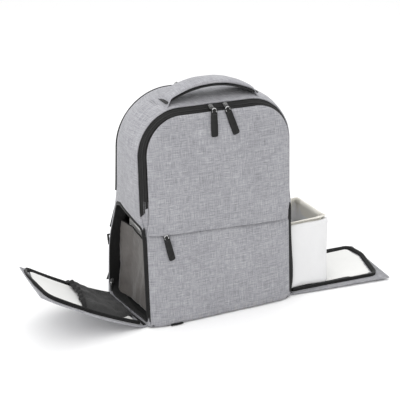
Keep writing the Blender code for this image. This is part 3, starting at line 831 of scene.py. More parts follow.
# ---- side openings and what is behind them ----
def make_opening_zip(side, name):
    """Tape that binds the opening: a raised lip outside and a band that turns in, with the coil on it."""
    path = rounded_corners(OPENING_RIM)

    def ring(inset):
        return shifted(path, inset)
    rings = [ring(-6.5 * MM), ring(-6.0 * MM), ring(-1.5 * MM), ring(1.2 * MM), ring(2.4 * MM), ring(2.0 * MM),
             ring(0.4 * MM), ring(-0.6 * MM)]
    sections, lip = [], []
    for index, p in enumerate(path):
        deep = mix(7 * MM, 19 * MM, smooth_step((p.x + 0.01) / 0.08))
        x = wall_x(p.x, p.y) + shell_puff(0.5, p.y) * 0.8
        front = smooth_step((-0.05 - p.x) / 0.012) * smooth_step((0.20 - p.y) / 0.03)
        flare = front * (side > 0) * (3.0 * MM + 3.5 * MM * math.exp(-((p.y - 0.055) / 0.05) ** 2))
        flare += front * (side < 0) * 1.0 * MM
        rise = (0.2 * MM, 2.0 * MM, 4.0 * MM, 3.6 * MM, 0.5 * MM, -deep, -deep, -1.0 * MM)
        section = []
        for place, (points, height) in enumerate(zip(rings, rise)):
            height *= mix(0.4, 1.0, smooth_step((p.y - 12 * MM) / (25 * MM))) if height > 0 else 1.0
            out = x + height + (flare if 0 < place < 5 else 0.0) * (1.0 if place in (2, 3) else 0.7)
            spot = p.lerp(points[index], 0.7) if front > 0.5 and place < 2 else points[index]
            section.append(Vector((side * out, max(spot.x, -79.5 * MM), max(spot.y, 2.6 * MM))))
        sections.append(section)
        lift = mix(1.2 * MM, 3.7 * MM, smooth_step((p.y - 12 * MM) / (25 * MM)))
        lip.append(Vector((side * (x + lift + flare), *p.lerp(rings[4][index], 0.3))))
    tape = loft(name + "_opening_tape", sections, TAPE)
    coil = cord_along(name + "_opening_coil", lip[:-1], 1.4 * MM, COIL, up=Vector((1, 0, 0)))
    for piece in (tape, coil):
        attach(piece, "root")
    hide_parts(name + "_opening_zip")


def make_left_compartment():
    """Taupe liner with slack folds at its back edge, and the white lining that shows above it."""
    front = low("left_liner")[1] + 4 * MM
    rows = []
    for k in range(46):
        v = k / 45
        row = []
        for u in steps(56):
            y = mix(front, 84 * MM, u)
            top = 0.1500 + 0.22 * (y - 0.015)
            z = mix(9 * MM, top, v)
            back = smooth_step((u - 0.72) / 0.28)
            x = -(128 * MM + 12 * MM * back)
            slack = smooth_step((u - 0.35) / 0.3)
            x += slack * (2.6 * MM * ripple(0, y * 2.4, z * 0.7, 40 * MM, 4.0) + 0.9 * MM * ripple(0, y, z * 2, 16 * MM, 1.4))
            x += 2.2 * MM * ripple(0, y, z, 38 * MM, 9.2) - 6 * MM * (1 - v) ** 6
            row.append(Vector((x, y, z)))
        rows.append(row)
    liner = grid("left_liner_fabric", rows, TAUPE)
    thicken(liner, 1.0 * MM, offset=1.0)
    settle(liner)
    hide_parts("left_liner")
    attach(liner, "root")
    hem = cord_along("left_liner_hem", [p + Vector((-0.5 * MM, 0, 0)) for p in rows[-1]], 1.1 * MM, TAPE,
                     up=Vector((1, 0, 0)))
    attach(hem, "root")
    rows = []
    for v in steps(36):
        row = []
        for u in steps(40):
            y = mix(-56 * MM, 80 * MM, u)
            z = mix(100 * MM, 0.196 + 0.10 * (y + 0.052), v)
            near = smooth_step((z - 0.150 - 0.22 * (y - 0.015)) / 0.020)
            x = -(120 * MM + 13 * MM * near * smooth_step((0.082 - y) / 0.03))
            row.append(Vector((x + 1.0 * MM * ripple(0, y, z, 30 * MM, 7.0), y, z)))
        rows.append(row)
    white = grid("left_inner_lining", rows, WHITE)
    thicken(white, 1.2 * MM, offset=1.0)
    settle(white)
    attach(white, "root")


def make_roof_and_divider():
    roof = low("compartment_roof"), high("compartment_roof")
    rows = []
    for u in steps(30):
        y = mix(roof[0][1], roof[1][1], u)
        base = 174.5 * MM + 0.62 * (y + 0.054) - 2.6 * max(y - 0.0, 0.0) ** 2 - 0.12 * max(y - 0.02, 0.0)
        rows.append([Vector((x, y, min(base, roof[1][2]) + 0.8 * MM * ripple(x, y, 0, 40 * MM, 2.0)))
                     for x in steps(60, roof[0][0] - 4 * MM, roof[1][0] + 4 * MM)])
    cover = grid("compartment_roof_lining", rows, WHITE)
    thicken(cover, 2.0 * MM)
    settle(cover)
    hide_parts("compartment_roof")
    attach(cover, "root")
    box = low("front_divider"), high("front_divider")
    rows = []
    for k in range(50):
        z = mix(box[0][2], box[1][2] + 6 * MM, k / 49)
        lowest = -79.5 * MM + 0.068 * z
        y = lowest if z < 0.165 else mix(-68.3 * MM, -52.5 * MM, smooth_step((z - 0.165) / 0.05)) \
            + max(z - 0.215, 0) * 0.035
        half = arch_half(z, 143 * MM if z > 0.21 else 131 * MM, box[1][2] + 8 * MM, 66 * MM)
        rows.append([Vector((f * half, y + 0.8 * MM * ripple(f, 0, z, 45 * MM, 3.3), z)) for f in steps(60, -1, 1)])
    wall = grid("front_divider_lining", rows, TAUPE)
    thicken(wall, 1.8 * MM, offset=1.0)
    settle(wall)
    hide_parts("front_divider")
    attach(wall, "root")


# ---- doors ----
def door_point(side, curl, along, y, height):
    """A place on a door: along it from the hinge, across it, and above its outer fabric."""
    slope, gain, front_reach, back_reach = curl
    along *= mix(front_reach, back_reach, (y + 0.095) / 0.178)
    x, z = DOOR_HINGE_X, DOOR_HINGE_Z
    count = 24
    for step in range(count):
        angle = slope + gain * min(((step + 0.5) / count) * max(along, 0) / DOOR_LENGTH, 1.0) ** 0.7
        x += math.cos(angle) * along / count
        z += math.sin(angle) * along / count
    angle = slope + gain * min(max(along, 0) / DOOR_LENGTH, 1.0) ** 0.7
    return Vector((side * (x - math.sin(angle) * height), y, z + math.cos(angle) * height))


DOOR_ZIP = (
    (3 * MM, -64 * MM, 0.0),
    (202 * MM, -74 * MM, 24 * MM),
    (238 * MM, 30 * MM, 60 * MM),
    (237 * MM, 80 * MM, 16 * MM),
    (3 * MM, 86 * MM, 0.0),
)


def door_edges(inset):
    """Front and back edge of the area inside a door's zip at a length along it, and its far end."""
    path = shifted(rounded_corners(DOOR_ZIP), -inset)
    far = max(range(len(path)), key=lambda index: path[index].x)

    def edge(points):
        def at(along):
            along = max(along, points[0].x)
            for first, second in zip(points, points[1:]):
                if min(first.x, second.x) <= along <= max(first.x, second.x) and first.x != second.x:
                    return mix(first.y, second.y, (along - first.x) / (second.x - first.x))
            return points[-1].y
        return at
    return edge(path[:far + 1]), edge(path[far:][::-1]), path[far].x


def flange_place(part, across):
    """A place on a door's outer fabric, from fractions of its length and depth."""
    along = mix(0.216, 0.247, across) * part
    front = mix(-72 * MM, -99 * MM, along / DOOR_LENGTH)
    return along, mix(front, mix(94 * MM, 83 * MM, along / DOOR_LENGTH), across)


def make_door_fabric(side, name, curl):
    rows = []
    for k in range(64):
        part = k / 63
        row = []
        for w in steps(44):
            along, y = flange_place(part, w)
            rim = min(w, 1 - w, (1 - part) * 1.4)
            lift = 0.8 * MM * ripple(along, y, 0, 40 * MM, 1.7 + side) * smooth_step(rim / 0.02)
            curl_up = 2.0 * MM * (1 - smooth_step(rim / 0.05)) * smooth_step((part - 0.3) / 0.4)
            row.append(door_point(side, curl, along, y, 0.6 * MM + max(lift, -0.5 * MM) + curl_up))
        rows.append(row)
    fabric = grid(name + "_door_fabric", rows, HEATHER)
    thicken(fabric, 2.2 * MM, offset=0.0)
    settle(fabric)
    keep_faces_out(fabric.data)
    fabric.data.set_sharp_from_angle(angle=math.radians(60))
    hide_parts(name + "_door_panel")
    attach(fabric, name + "_door")
    edge = []
    for w, part in [(0.012, p) for p in steps(40, 0.02, 0.982)] + [(w, 0.982) for w in steps(24, 0.02, 0.98)] \
            + [(0.988, p) for p in steps(40, 0.982, 0.02)]:
        along, y = flange_place(part, w)
        edge.append(door_point(side, curl, along, y, 3.4 * MM))
    thread = stitches(name + "_door_stitching", edge, Vector((0, 0, 1)), PALE_THREAD)
    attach(thread, name + "_door")


def make_door_zip(side, name, curl):
    outer = rounded_corners(DOOR_ZIP)
    inner = shifted(outer, -7.5 * MM)
    sections, crest = [], []
    for out, inn in zip(outer, inner):
        def at(part, height):
            spot = out.lerp(inn, part)
            return door_point(side, curl, spot.x, spot.y, height)
        sections.append([at(0.0, 1.2 * MM), at(-0.06, 2.6 * MM), at(0.08, 6.0 * MM), at(0.35, 7.4 * MM),
                         at(0.7, 6.6 * MM), at(1.0, 4.0 * MM), at(1.05, 1.2 * MM)])
        crest.append(at(0.16, 7.4 * MM))
    tape = loft(name + "_door_zip_tape", sections, TAPE)
    coil = cord_along(name + "_door_zip_coil", crest, 1.3 * MM, COIL)
    for piece in (tape, coil):
        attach(piece, name + "_door")
    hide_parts(name + "_door_zip")


def make_door_lining(side, name, curl):
    """A thin pad: made flat, swollen by simulation, then laid along the door's curl."""
    front, back, far = door_edges(8.0 * MM)
    end = far - 2 * MM
    layers = []
    for height in (2.4 * MM, 4.6 * MM):
        layers.append([[Vector((along, mix(front(along), back(along), w), height)) for w in steps(30)]
                       for along in steps(46, 7 * MM, end)])
    lower, upper = layers
    sections = [low_row + high_row[::-1] for low_row, high_row in zip(lower, upper)]
    pad = loft(name + "_door_pad", sections, WHITE)
    swell(pad, 4.5 * MM, 3.0, 2.2 * MM)
    for vertex in pad.data.vertices:
        along, y, height = vertex.co
        middle = smooth_step(min((y - front(along)) / 0.02, (back(along) - y) / 0.02, (end - along) / 0.02, 1))
        rise = 0.5 * MM * ripple(along, y, 0, 35 * MM, 4.4 + side) * middle
        vertex.co = door_point(side, curl, along, y, max(height, 1.9 * MM) + rise)
    keep_faces_out(pad.data)
    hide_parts(name + "_door_lining")
    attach(pad, name + "_door")


def make_mesh_pocket():
    """Slack net pocket on the left door's hinge half, gathered under an elastic edge."""
    front, back, _ = door_edges(6.5 * MM)
    rim = 120 * MM
    rows = []
    for u in steps(70):
        row = []
        for w in steps(64):
            along = mix(2 * MM, rim, u)
            near = front(along) + 26 * MM * (1 - smooth_step(along / 0.05))
            y = mix(near, back(along), w)
            side_fall = smooth_step(min(w, 1 - w) / 0.12)
            end_fall = smooth_step(u / 0.12)
            folds = 5.0 * MM * ripple(along * 0.6, y, 0, 26 * MM, 11.0) + 2.6 * MM * ripple(along, y * 0.5, 0, 14 * MM, 2.7)
            gather = 1.5 * MM * math.sin(w * 46 + 1.5 * ripple(along, y, 0, 30 * MM, 1.0)) * smooth_step((u - 0.75) / 0.25)
            height = 6.2 * MM + side_fall * end_fall * (5.0 * MM + folds + gather + 4.0 * MM * smooth_step((u - 0.5) / 0.5))
            row.append(door_point(-1, LEFT_CURL, along, y, max(height, 5.4 * MM)))
        rows.append(row)
    net = grid("left_pocket_net", rows, NET)
    thicken(net, 0.8 * MM, offset=1.0)
    settle(net)
    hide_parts("left_mesh_pocket")
    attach(net, "left_door")
    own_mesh(net)
    path = []
    for index, point in enumerate(rows[-1]):
        w = index / 63
        kick = 5 * MM * smooth_step((w - 0.88) / 0.12)
        path.append(point + Vector((-1.5 * MM - 2.2 * MM * math.sin(w * 9), 0, 1.0 * MM + kick)))
    band = profile_along("left_pocket_elastic_edge", path, Vector((-0.4, 0, 1)), oval(8.5 * MM, 2.4 * MM, 10), WEBBING)
    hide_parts("left_pocket_elastic")
    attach(band, "left_door")


def make_hinge_strips():
    """Fabric that joins the side walls to the doors where they fold."""
    for side, name in ((-1, "left"), (1, "right")):
        rows = []
        for u in steps(14):
            row = []
            for w in steps(40):
                x = mix(143 * MM, DOOR_HINGE_X + 1 * MM, u)
                y = mix(-70 * MM, 91 * MM, w)
                z = 2.6 * MM + 2.2 * MM * (1 - u) ** 2 + 0.5 * MM * ripple(x, y, 0, 30 * MM, 5.0)
                row.append(Vector((side * x, y, z)))
            rows.append(row)
        strip = grid(name + "_fold_fabric", rows, HEATHER)
        thicken(strip, 1.8 * MM, offset=0.0)
        settle(strip)
        keep_faces_out(strip.data)
        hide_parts(name + "_hinge_strip")
        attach(strip, "root")
        edge = grid(name + "_fold_binding", [[row[k] + Vector((0, 0, 1.4 * MM)) for k in range(1, 39)] for row in rows[2:11]],
                    TAPE)
        thicken(edge, 0.9 * MM, offset=0.0)
        settle(edge)
        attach(edge, "root")


def make_front_corners():
    """Fabric that turns from the front face into the side walls beside the fold."""
    for side, name in ((-1, "left"), (1, "right")):
        rows = []
        for z in steps(26, 0.140, 0.243):
            row = []
            for t in steps(8):
                x = mix(PANEL_HALF - 2 * MM, shell_half(0, z) + 0.6 * MM, t ** 0.6)
                y = mix(front_y(z) + mix(6.0 * MM, 3.4 * MM, smooth_step((z - 0.16) / 0.05)), shell_y(0, z) + 3 * MM, t)
                row.append(Vector((side * x, y, z)))
            rows.append(row)
        corner = grid(name + "_corner_fabric", rows, HEATHER)
        thicken(corner, 1.2 * MM, offset=-side)
        settle(corner)
        keep_faces_out(corner.data)
        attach(corner, "root")


# ---- insert ----
INSERT_NEAR, INSERT_FAR = low("insert_shell")[0], high("insert_shell")[0]
INSERT_BACK = high("insert_shell")[1]
INSERT_FRONT_SET = 16.5 * MM


def insert_ring(z, inset, corner, count=96):
    """A rounded rectangle round the insert at a height, which leans with the bag's front."""
    x0, x1 = INSERT_NEAR + inset, INSERT_FAR - inset
    y0, y1 = front_y(z) + INSERT_FRONT_SET + inset, INSERT_BACK - inset
    centre = Vector(((x0 + x1) / 2, (y0 + y1) / 2, z))
    ring = []
    half = Vector(((x1 - x0) / 2, (y1 - y0) / 2))
    for k in range(count):
        angle = 2 * math.pi * k / count + math.pi / 4
        power = 2 / (2 + 26 * (1 - corner))
        c, s = math.cos(angle), math.sin(angle)
        ring.append(centre + Vector((math.copysign(abs(c) ** power, c) * half.x,
                                     math.copysign(abs(s) ** power, s) * half.y, 0)))
    return ring


def rim_lift(point):
    """The insert's edge stands a little higher at the back and pokes up at its corners."""
    back = smooth_step((point.y + 0.02) / 0.07)
    corner = math.exp(-((point.x - INSERT_FAR) ** 2 + (point.y - front_y(0.15) - INSERT_FRONT_SET) ** 2) / (12 * MM) ** 2)
    return 5.0 * MM * back + 3.5 * MM * corner + 1.2 * MM * ripple(point.x, point.y, 0, 26 * MM, 8.0)


def make_insert():
    foot, top = 11.5 * MM, high("insert_lip")[2]
    wall = 9 * MM
    outer = [insert_ring(mix(foot, top - 4 * MM, v), 1.4 * MM, 0.45) for v in steps(26)]
    roll = [insert_ring(top - 4 * MM + 4 * MM * math.sin(a), 1.4 * MM + (wall - 1.4 * MM) / 2 * (1 - math.cos(a)), 0.45)
            for a in steps(7, 0.4, math.pi - 0.4)]
    inner = [insert_ring(mix(top - 4 * MM, foot + 14 * MM, v), wall, 0.55) for v in steps(24)]
    body = loft("insert_padded_shell", outer + roll + inner, WHITE_PAD)
    swell(body, 4.5 * MM, 4.0, 2.6 * MM)
    for vertex in body.data.vertices:
        vertex.co.z += rim_lift(vertex.co) * smooth_step((vertex.co.z - top + 40 * MM) / (38 * MM))
    keep_faces_out(body.data)
    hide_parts("insert_shell")
    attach(body, "insert")

    profile = [(wall * 0.50, 4.2 * MM), (wall * 0.62, 5.4 * MM), (wall * 0.80, 5.2 * MM), (wall * 0.98, 3.4 * MM)]
    profile += [(wall + 1.6 * MM, -d * MM) for d in (0, 4, 9, 15, 22, 30)]
    profile += [(wall + 0.8 * MM, -d * MM) for d in (60, 105)]
    centre = Vector(((INSERT_NEAR + INSERT_FAR) / 2, 0, 0))
    count = 260
    rows = []
    for inset, rise in profile:
        row = []
        for k, point in enumerate(insert_ring(top - 4 * MM + rise, inset, 0.5, count)):
            turn = k / count
            wander = 0.55 * ripple(math.cos(2 * math.pi * turn) * 3, math.sin(2 * math.pi * turn) * 3, 0, 1.0, 3.0)
            pleat = math.sin(2 * math.pi * (turn * 30 + wander)) + 0.6 * math.sin(2 * math.pi * (turn * 53 - wander))
            depth = smooth_step((inset - wall * 0.45) / (wall * 0.5)) * math.exp(-max(-rise, 0) / (20 * MM))
            inward = (centre - point)
            inward.z = 0.0
            lift = rim_lift(point) * smooth_step((rise + 40 * MM) / (38 * MM))
            row.append(point + inward.normalized() * depth * (1.5 * MM * pleat + 2.0 * MM)
                       + Vector((0, 0, lift + depth * 0.8 * MM * pleat)))
        rows.append(row)
    lining = grid("insert_gathered_lining", rows, CREAM, wrap=True)
    thicken(lining, 1.0 * MM)
    settle(lining)
    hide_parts("insert_lip")
    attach(lining, "insert")
    middle = Vector((centre.x, 0, foot + 15 * MM))
    floor = grid("insert_floor", [[point.lerp(middle, v) for point in insert_ring(middle.z, wall, 0.55, 64)]
                                  for v in steps(8, 0.0, 0.97)], CREAM, wrap=True)
    thicken(floor, 1.5 * MM)
    settle(floor)
    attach(floor, "insert")


# ---- handle ----
def shell_top(x, y):
    """Height of the padded shell's top surface."""
    s = (y - shell_y(0, 0.4)) / (shell_y(1, 0.4) - shell_y(0, 0.4))
    top, radius = through(SHELL_TOP, s), through(SHELL_RADIUS, s)
    over = max(abs(x) - (shell_half(s, top) - radius), 0.0)
    return top - radius + math.sqrt(max(radius ** 2 - over ** 2, 0.0)) + shell_puff(s, 0.4)


def make_handle():
    """A padded band over a net underside; its ends flatten out onto the shell, where they are sewn."""
    half = high("handle_pad")[0]
    foot, crest = low("handle_lining")[2] + 1 * MM, high("handle_lining")[2] - 1 * MM
    y_mid = (low("handle_pad")[1] + high("handle_pad")[1]) / 2
    width = high("handle_pad")[1] - low("handle_pad")[1]
    sections, under = [], []
    for t in steps(76, -1.15, 1.15):
        x, reach = half * t, min(abs(t), 1.0)
        arc = foot + (crest - foot) * (1 - reach * reach)
        tongue = smooth_step((abs(t) - 0.86) / 0.12)
        thick = mix(10.4 * MM, 4.2 * MM, reach ** 5) - 2.6 * MM * smooth_step((abs(t) - 0.97) / 0.16)
        across = width / 2 * mix(1.0, 1.12, smooth_step((abs(t) - 0.8) / 0.3))
        ring = []
        for j in range(24):
            angle = 2 * math.pi * j / 24
            c, s = math.cos(angle), math.sin(angle)
            y = y_mid + math.copysign(abs(c) ** 0.55, c) * across
            base = mix(arc + 3.6 * MM, shell_top(x, y) - 0.6 * MM, tongue)
            z = base + (math.copysign(abs(s) ** 0.7, s) * 0.5 + 0.5) * thick
            z -= 1.6 * MM * ((y - y_mid) / across) ** 2 * (s > 0) * (1 - tongue)
            ring.append(Vector((x, y, z)))
        sections.append(ring)
        if abs(t) < 0.985:
            lift = mix(1.2 * MM, 2.6 * MM, tongue)
            under.append(Vector((x, y_mid, max(arc + lift, shell_top(x, y_mid - width / 2) + 0.4 * MM))))
    # The handle takes the painted-lit copy of the heather: painted light on its top.
    pad = loft("handle_padding", sections, HEATHER_PAINTED_LIT)
    for vertex in pad.data.vertices:
        x, y, z = vertex.co
        vertex.co.z += (0.7 * MM * ripple(x, y, z, 22 * MM, 6.0)) * smooth_step((0.98 - abs(x) / half) / 0.1)
    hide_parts("handle_pad")
    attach(pad, "root")
    net = profile_along("handle_underside", under, Vector((0, 0, 1)),
                        [(a * 0.98, b) for a, b in oval(width, 5.2 * MM, 18)], AIR_MESH)
    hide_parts("handle_lining")
    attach(net, "root")
    for side, name in ((-1, "left"), (1, "right")):
        for row, x in enumerate((104.5 * MM, 108.0 * MM)):
            path = [Vector((side * x, y, shell_top(side * x, y) + 0.1 * MM)) for y in steps(30, -39 * MM, 52 * MM)]
            for point in path:
                if abs(point.y - y_mid) < width * 0.55:
                    point.z += 2.1 * MM
            seam = stitches("handle_seam_%s_%d" % (name, row), path, Vector((0, 0, 1)), THREAD, 3.0 * MM, 0.8 * MM,
                            0.42 * MM)
            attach(seam, "root")


# ---- zip pulls ----
def make_slider(node, body, turn=None):
    """Slider body, its bridge and the wire bail, in the place of the frame's block."""
    a, b = low(node), high(node)
    centre = Vector([(p + q) / 2 for p, q in zip(a, b)])
    spin = turn or Matrix.Identity(3)
    work = bmesh.new()
    for size, place in (((8.6, 10.5, 1.6), (0, 0, -1.0)), ((6.2, 8.0, 1.4), (0, 0.3, 1.0)), ((2.2, 7.0, 1.6), (0, 0, 2.1))):
        made = bmesh.ops.create_cube(work, size=1.0)["verts"]
        bmesh.ops.scale(work, vec=Vector(size) * MM, verts=made)
        bmesh.ops.translate(work, vec=Vector(place) * MM, verts=made)
    mesh = bpy.data.meshes.new(node + "_metal")
    work.to_mesh(mesh)
    work.free()
    mesh.transform(Matrix.Translation(centre) @ spin.to_4x4())
    piece = link(node + "_metal", mesh, METAL)
    rounding = piece.modifiers.new("edge", "BEVEL")
    rounding.width = 0.5 * MM
    rounding.segments = 2
    settle(piece)
    piece.data.set_sharp_from_angle(angle=math.radians(40))
    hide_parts(node)
    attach(piece, body)
    return centre


def make_tab(node, body, pivot, tip, out, width):
    """A soft puller: rounded end, raised rim, stitched fold at the top and a wire loop through it."""
    pivot, tip, out = Vector(pivot), Vector(tip), Vector(out).normalized()
    down = (tip - pivot).normalized()
    length = (tip - pivot).length
    side = down.cross(out).normalized()
    outline = []
    half = width / 2
    top = -1.0 * MM
    for x, d in ((-half * 0.86, top), (-half * 0.92, 6 * MM), (-half, length * 0.55), (-half, length - 2.6 * MM),
                 (-half * 0.8, length - 0.6 * MM), (-half * 0.4, length), (half * 0.4, length),
                 (half * 0.8, length - 0.6 * MM), (half, length - 2.6 * MM), (half, length * 0.55),
                 (half * 0.92, 6 * MM), (half * 0.86, top)):
        outline.append((x, d))

    def shaped(scale, height, sag):
        middle = length / 2
        return [pivot + side * x * scale + down * (middle + (d - middle) * (1 - (1 - scale) * 0.35)) + out * (height + sag)
                for x, d in outline]
    layers = [shaped(0.80, -1.0 * MM, 0), shaped(1.0, -0.6 * MM, 0), shaped(1.0, 0.6 * MM, 0), shaped(0.92, 1.2 * MM, 0),
              shaped(0.74, 1.1 * MM, 0), shaped(0.68, 0.75 * MM, 0)]
    tab = loft(node + "_puller", layers, RUBBER)
    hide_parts(node)
    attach(tab, body)
    loop_path = []
    for k in range(17):
        angle = math.pi * k / 16
        loop_path.append(pivot + side * math.cos(angle) * half * 0.62 + down * (1.5 * MM - math.sin(angle) * 4.2 * MM)
                         + out * 0.4 * MM)
    loop_path = [loop_path[0] + down * 3 * MM] + loop_path + [loop_path[-1] + down * 3 * MM]
    wire = cord_along(node + "_wire", loop_path, 0.75 * MM, BRIGHT, up=out)
    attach(wire, body)
    bar = [(x, d) for x, d in ((-half * 0.6, 8.5 * MM), (half * 0.6, 8.5 * MM))]
    seam = stitches(node + "_seam", [pivot + side * x + down * d + out * 1.0 * MM for x, d in bar], out, THREAD,
                    1.6 * MM, 0.8 * MM, 0.22 * MM)
    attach(seam, body)


def joint_place(name):
    return next(Vector(joint["pos_m"]) for joint in frame["joints"] if joint["name"] == name)


def make_pulls():
    lean_out = Vector((0, -1, -FRONT_LEAN))
    for name, lean, length, width in (("front_left", math.radians(1.5), 49 * MM, 13.5 * MM),
                                      ("front_right", math.radians(-16), 51 * MM, 13.5 * MM),
                                      ("pocket", math.radians(-14), 42 * MM, 12.5 * MM)):
        pivot = joint_place(name + "_tab_swing")
        down = Vector((-math.sin(lean), -FRONT_LEAN, -math.cos(lean)))
        turn = Matrix.Rotation(math.radians(90 if name == "pocket" else 35), 3, "X")
        make_slider(name + "_slider", name + "_slider", turn)
        tip = pivot + down.normalized() * length
        if name == "pocket":
            pivot = pivot + Vector((-0.001, 0, 0.006))
        elif name == "front_right":
            pivot, tip = pivot - Vector((0.004, 0, 0)), tip - Vector((0.001, 0, 0))
        lift = 3.5 * MM if name == "pocket" else 4.5 * MM
        clear = 3.5 * MM if name == "pocket" else 7.0 * MM
        make_tab(name + "_tab", name + "_tab", pivot + lean_out * lift, tip + lean_out * clear, lean_out, width)
    for name in ("rear_left", "rear_right"):
        make_slider(name + "_slider", name + "_slider")
        pivot = joint_place(name + "_tab_swing")
        tip = pivot + Vector((0, 0.08, -1)).normalized() * 23 * MM
        make_tab(name + "_tab", name + "_tab", pivot, tip, Vector((0, 1, 0.08)), 11 * MM)
    for name, side in (("left_side", -1), ("right_side", 1)):
        turn = Matrix(((0, 0, side), (side, 0, 0), (0, 1, 0)))
        make_slider(name + "_slider", name + "_slider", turn)
        pivot = joint_place(name + "_tab_swing")
        make_tab(name + "_tab", name + "_tab", pivot + Vector((side * 1.0 * MM, 0, 0)),
                 pivot + Vector((side * 1.0 * MM, 0, -17 * MM)), Vector((side, 0, 0)), 7 * MM)


# ---- back ----
def make_back():
    arch_top, radius = high("back_panel")[2], SHELL_RADIUS[2]
    ring = arch_ring(0.222, 6 * MM, arch_top + 3 * MM, radius + 1 * MM, lambda z: shell_half(1, z) + 2 * MM, 26)
    path = [Vector((x, shell_y(1, z) + 1.6 * MM, z)) for x, z, nx, nz in ring]
    piping = cord_along("rear_zip_piping", path, 3.3 * MM, TAPE, up=Vector((0, 1, 0)), count=12)
    coil = cord_along("rear_zip_coil", [p + Vector((0, 3.2 * MM, 0)) for p in path], 1.6 * MM, COIL, up=Vector((0, 1, 0)))
    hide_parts("rear_zip")
    for piece in (piping, coil):
        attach(piece, "root")
    rows, places = [], []
    heights = [mix(SHELL_FOOT, arch_top - radius, k / 60) for k in range(61)]
    heights += [arch_top - radius + radius * math.sin(math.pi / 2 * k / 22) for k in range(1, 23)]
    for z in heights:
        over = min(max(z - (arch_top - radius), 0.0), radius)
        half = shell_half(1, z) - 1.0 * MM - radius + math.sqrt(max(radius ** 2 - over ** 2, 0))
        row, place = [], []
        for f in steps(90, -1.0, 1.0):
            x = f * half
            edge = arch_distance(x, z, shell_half(1, z) - 1 * MM, arch_top, radius)
            edge = min(edge, z - SHELL_FOOT)
            pad = smooth_step((edge - 14 * MM) / (12 * MM)) * smooth_step((abs(x) - 11 * MM) / (9 * MM))
            channel = 1.0
            for level in (0.125, 0.235, 0.335):
                channel *= 1 - 0.75 * math.exp(-((z - level) / (5 * MM)) ** 2)
            rise = 7.0 * MM * pad * channel - edge_roll(edge, 9 * MM, 7 * MM)
            y = shell_y(1, z) + 15.5 * MM + rise + 0.4 * MM * ripple(x, 0, z, 30 * MM, 2.0)
            row.append(Vector((x, y, z)))
            place.append((x, z))
        rows.append(row)
        places.append(place)
    panel = grid("back_padding", [row[::-1] for row in rows], AIR_MESH, uv=lambda r, c: places[r][min(c, 89)])
    thicken(panel, 8 * MM)
    settle(panel)
    keep_faces_out(panel.data)
    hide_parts("back_panel")
    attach(panel, "root")


def make_base():
    a, b = low("base_panel"), high("base_panel")
    rows = []
    for u in steps(50):
        row = []
        for w in steps(34):
            x, y = mix(a[0], b[0], u), mix(a[1], b[1], w)
            rim = min(x - a[0], b[0] - x, y - a[1], b[1] - y)
            corner = min(x - a[0], b[0] - x) + min(y - a[1], b[1] - y)
            z = 0.4 * MM + edge_roll(rim, 8 * MM, 3.0 * MM) + edge_roll(corner, 24 * MM, 1.0 * MM)
            row.append(Vector((x, y, z)))
        rows.append(row)
    base = grid("base_fabric", rows, WEBBING)
    thicken(base, 2.6 * MM, offset=-1.0)
    settle(base)
    keep_faces_out(base.data)
    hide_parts("base_panel")
    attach(base, "root")
    c, d = low("base_webbing_tab"), high("base_webbing_tab")
    path = [Vector((mix(c[0], d[0], t), mix(c[1], d[1], 0.45), mix(c[2], d[2], 0.5) + 0.4 * MM * math.sin(t * 7)))
            for t in steps(16)]
    tab = profile_along("base_webbing_loop", path, Vector((0, 0, 1)), oval(9 * MM, 2.6 * MM, 12), WEBBING)
    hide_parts("base_webbing_tab")
    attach(tab, "root")


# ---- shoulder straps ----
STRAP_ROUTE = (
    (45, 96, 378, 26), (49, 107, 356, 36), (57, 119, 320, 50), (70, 127, 270, 56),
    (86, 131, 220, 54), (105, 131, 170, 46), (125, 127, 125, 36),
)


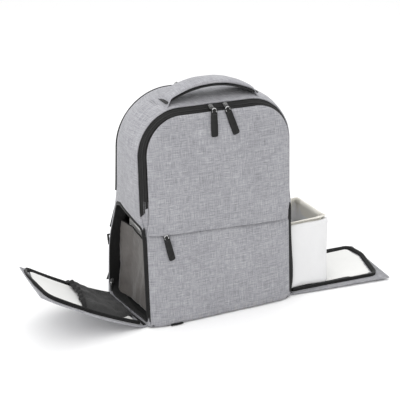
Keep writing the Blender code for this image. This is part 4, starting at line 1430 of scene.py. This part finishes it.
def make_straps():
    for side, name in ((-1, "left"), (1, "right")):
        body = name + "_strap"
        route = smooth_path([Vector((side * x, y, z)) * MM for x, y, z, width in STRAP_ROUTE], 60)
        widths = smooth_path([Vector((width * MM, 0, 0)) for x, y, z, width in STRAP_ROUTE], 60)
        normals = Vector((0, 1, 0.1))

        def section(t):
            width = widths[min(round(t * 59), 59)].x
            ring = []
            for j in range(20):
                angle = 2 * math.pi * j / 20
                c, s = math.cos(angle), math.sin(angle)
                ring.append((math.copysign(abs(c) ** 0.6, c) * width / 2, math.copysign(abs(s) ** 0.8, s) * 5.0 * MM))
            return ring
        pad = profile_along("strap_padding_" + name, route, normals, section, AIR_MESH)
        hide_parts("strap_pad_" + name)
        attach(pad, body)
        for edge_side in (-1, 1):
            edge = [p + s * edge_side * widths[i].x / 2 for i, (p, s, up) in enumerate(frames_along(route, normals))]
            binding = cord_along("strap_binding_%s_%s" % (name, "in" if edge_side < 0 else "out"), edge, 1.6 * MM,
                                 WEBBING, up=normals)
            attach(binding, body)
        a, b = low("strap_adjuster_" + name), high("strap_adjuster_" + name)
        centre = Vector([(p + q) / 2 for p, q in zip(a, b)])
        work = bmesh.new()
        for size, place in (((34, 3.5, 3.2), (0, 0, 9)), ((34, 4.5, 3.6), (0, 0.4, 0)), ((34, 3.5, 3.2), (0, 0, -9)),
                            ((3.4, 4.2, 21), (-15.3, 0, 0)), ((3.4, 4.2, 21), (15.3, 0, 0))):
            made = bmesh.ops.create_cube(work, size=1.0)["verts"]
            bmesh.ops.scale(work, vec=Vector(size) * MM, verts=made)
            bmesh.ops.translate(work, vec=Vector(place) * MM, verts=made)
        mesh = bpy.data.meshes.new("strap_ladder_" + name)
        work.to_mesh(mesh)
        work.free()
        mesh.transform(Matrix.Translation(centre) @ Matrix.Rotation(math.radians(-14), 4, "X"))
        ladder = link("strap_ladder_" + name, mesh, RUBBER)
        rounding = ladder.modifiers.new("edge", "BEVEL")
        rounding.width = 1.0 * MM
        rounding.segments = 2
        settle(ladder)
        ladder.data.set_sharp_from_angle(angle=math.radians(40))
        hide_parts("strap_adjuster_" + name)
        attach(ladder, body)
        low_path = smooth_path([Vector((side * x, y, z)) * MM for x, y, z in
                                ((126, 126, 122), (132, 122.5, 110), (135.5, 119.8, 96), (138, 118, 70), (139, 119, 48.5))], 40)
        web = profile_along("strap_webbing_low_" + name, low_path, normals,
                            [(-10 * MM, -0.8 * MM), (10 * MM, -0.8 * MM), (10.2 * MM, 0), (10 * MM, 0.8 * MM),
                             (-10 * MM, 0.8 * MM), (-10.2 * MM, 0)], WEBBING)
        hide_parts("strap_webbing_" + name)
        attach(web, body)
        a, b = low("strap_anchor_" + name), high("strap_anchor_" + name)
        middle = [Vector(((a[0] + b[0]) / 2, mix(a[1], b[1], 0.5), z)) for z in steps(8, a[2], b[2] + 1 * MM)]
        anchor = profile_along("strap_anchor_tab_" + name, middle, Vector((0, 1, 0)),
                               lambda t: oval(mix(38, 22, t) * MM, 2.6 * MM, 12), WEBBING)
        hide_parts("strap_anchor_" + name)
        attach(anchor, "root")


make_stage()
make_shell()
make_upper_front()
make_pocket()
make_front_zip()
make_left_compartment()
make_roof_and_divider()
for door_side, door_name, door_curl in ((-1, "left", LEFT_CURL), (1, "right", RIGHT_CURL)):
    make_opening_zip(door_side, door_name)
    make_door_fabric(door_side, door_name, door_curl)
    make_door_zip(door_side, door_name, door_curl)
    make_door_lining(door_side, door_name, door_curl)
make_mesh_pocket()
make_hinge_strips()
make_front_corners()
make_insert()
make_handle()
make_pulls()
make_back()
make_base()
make_straps()
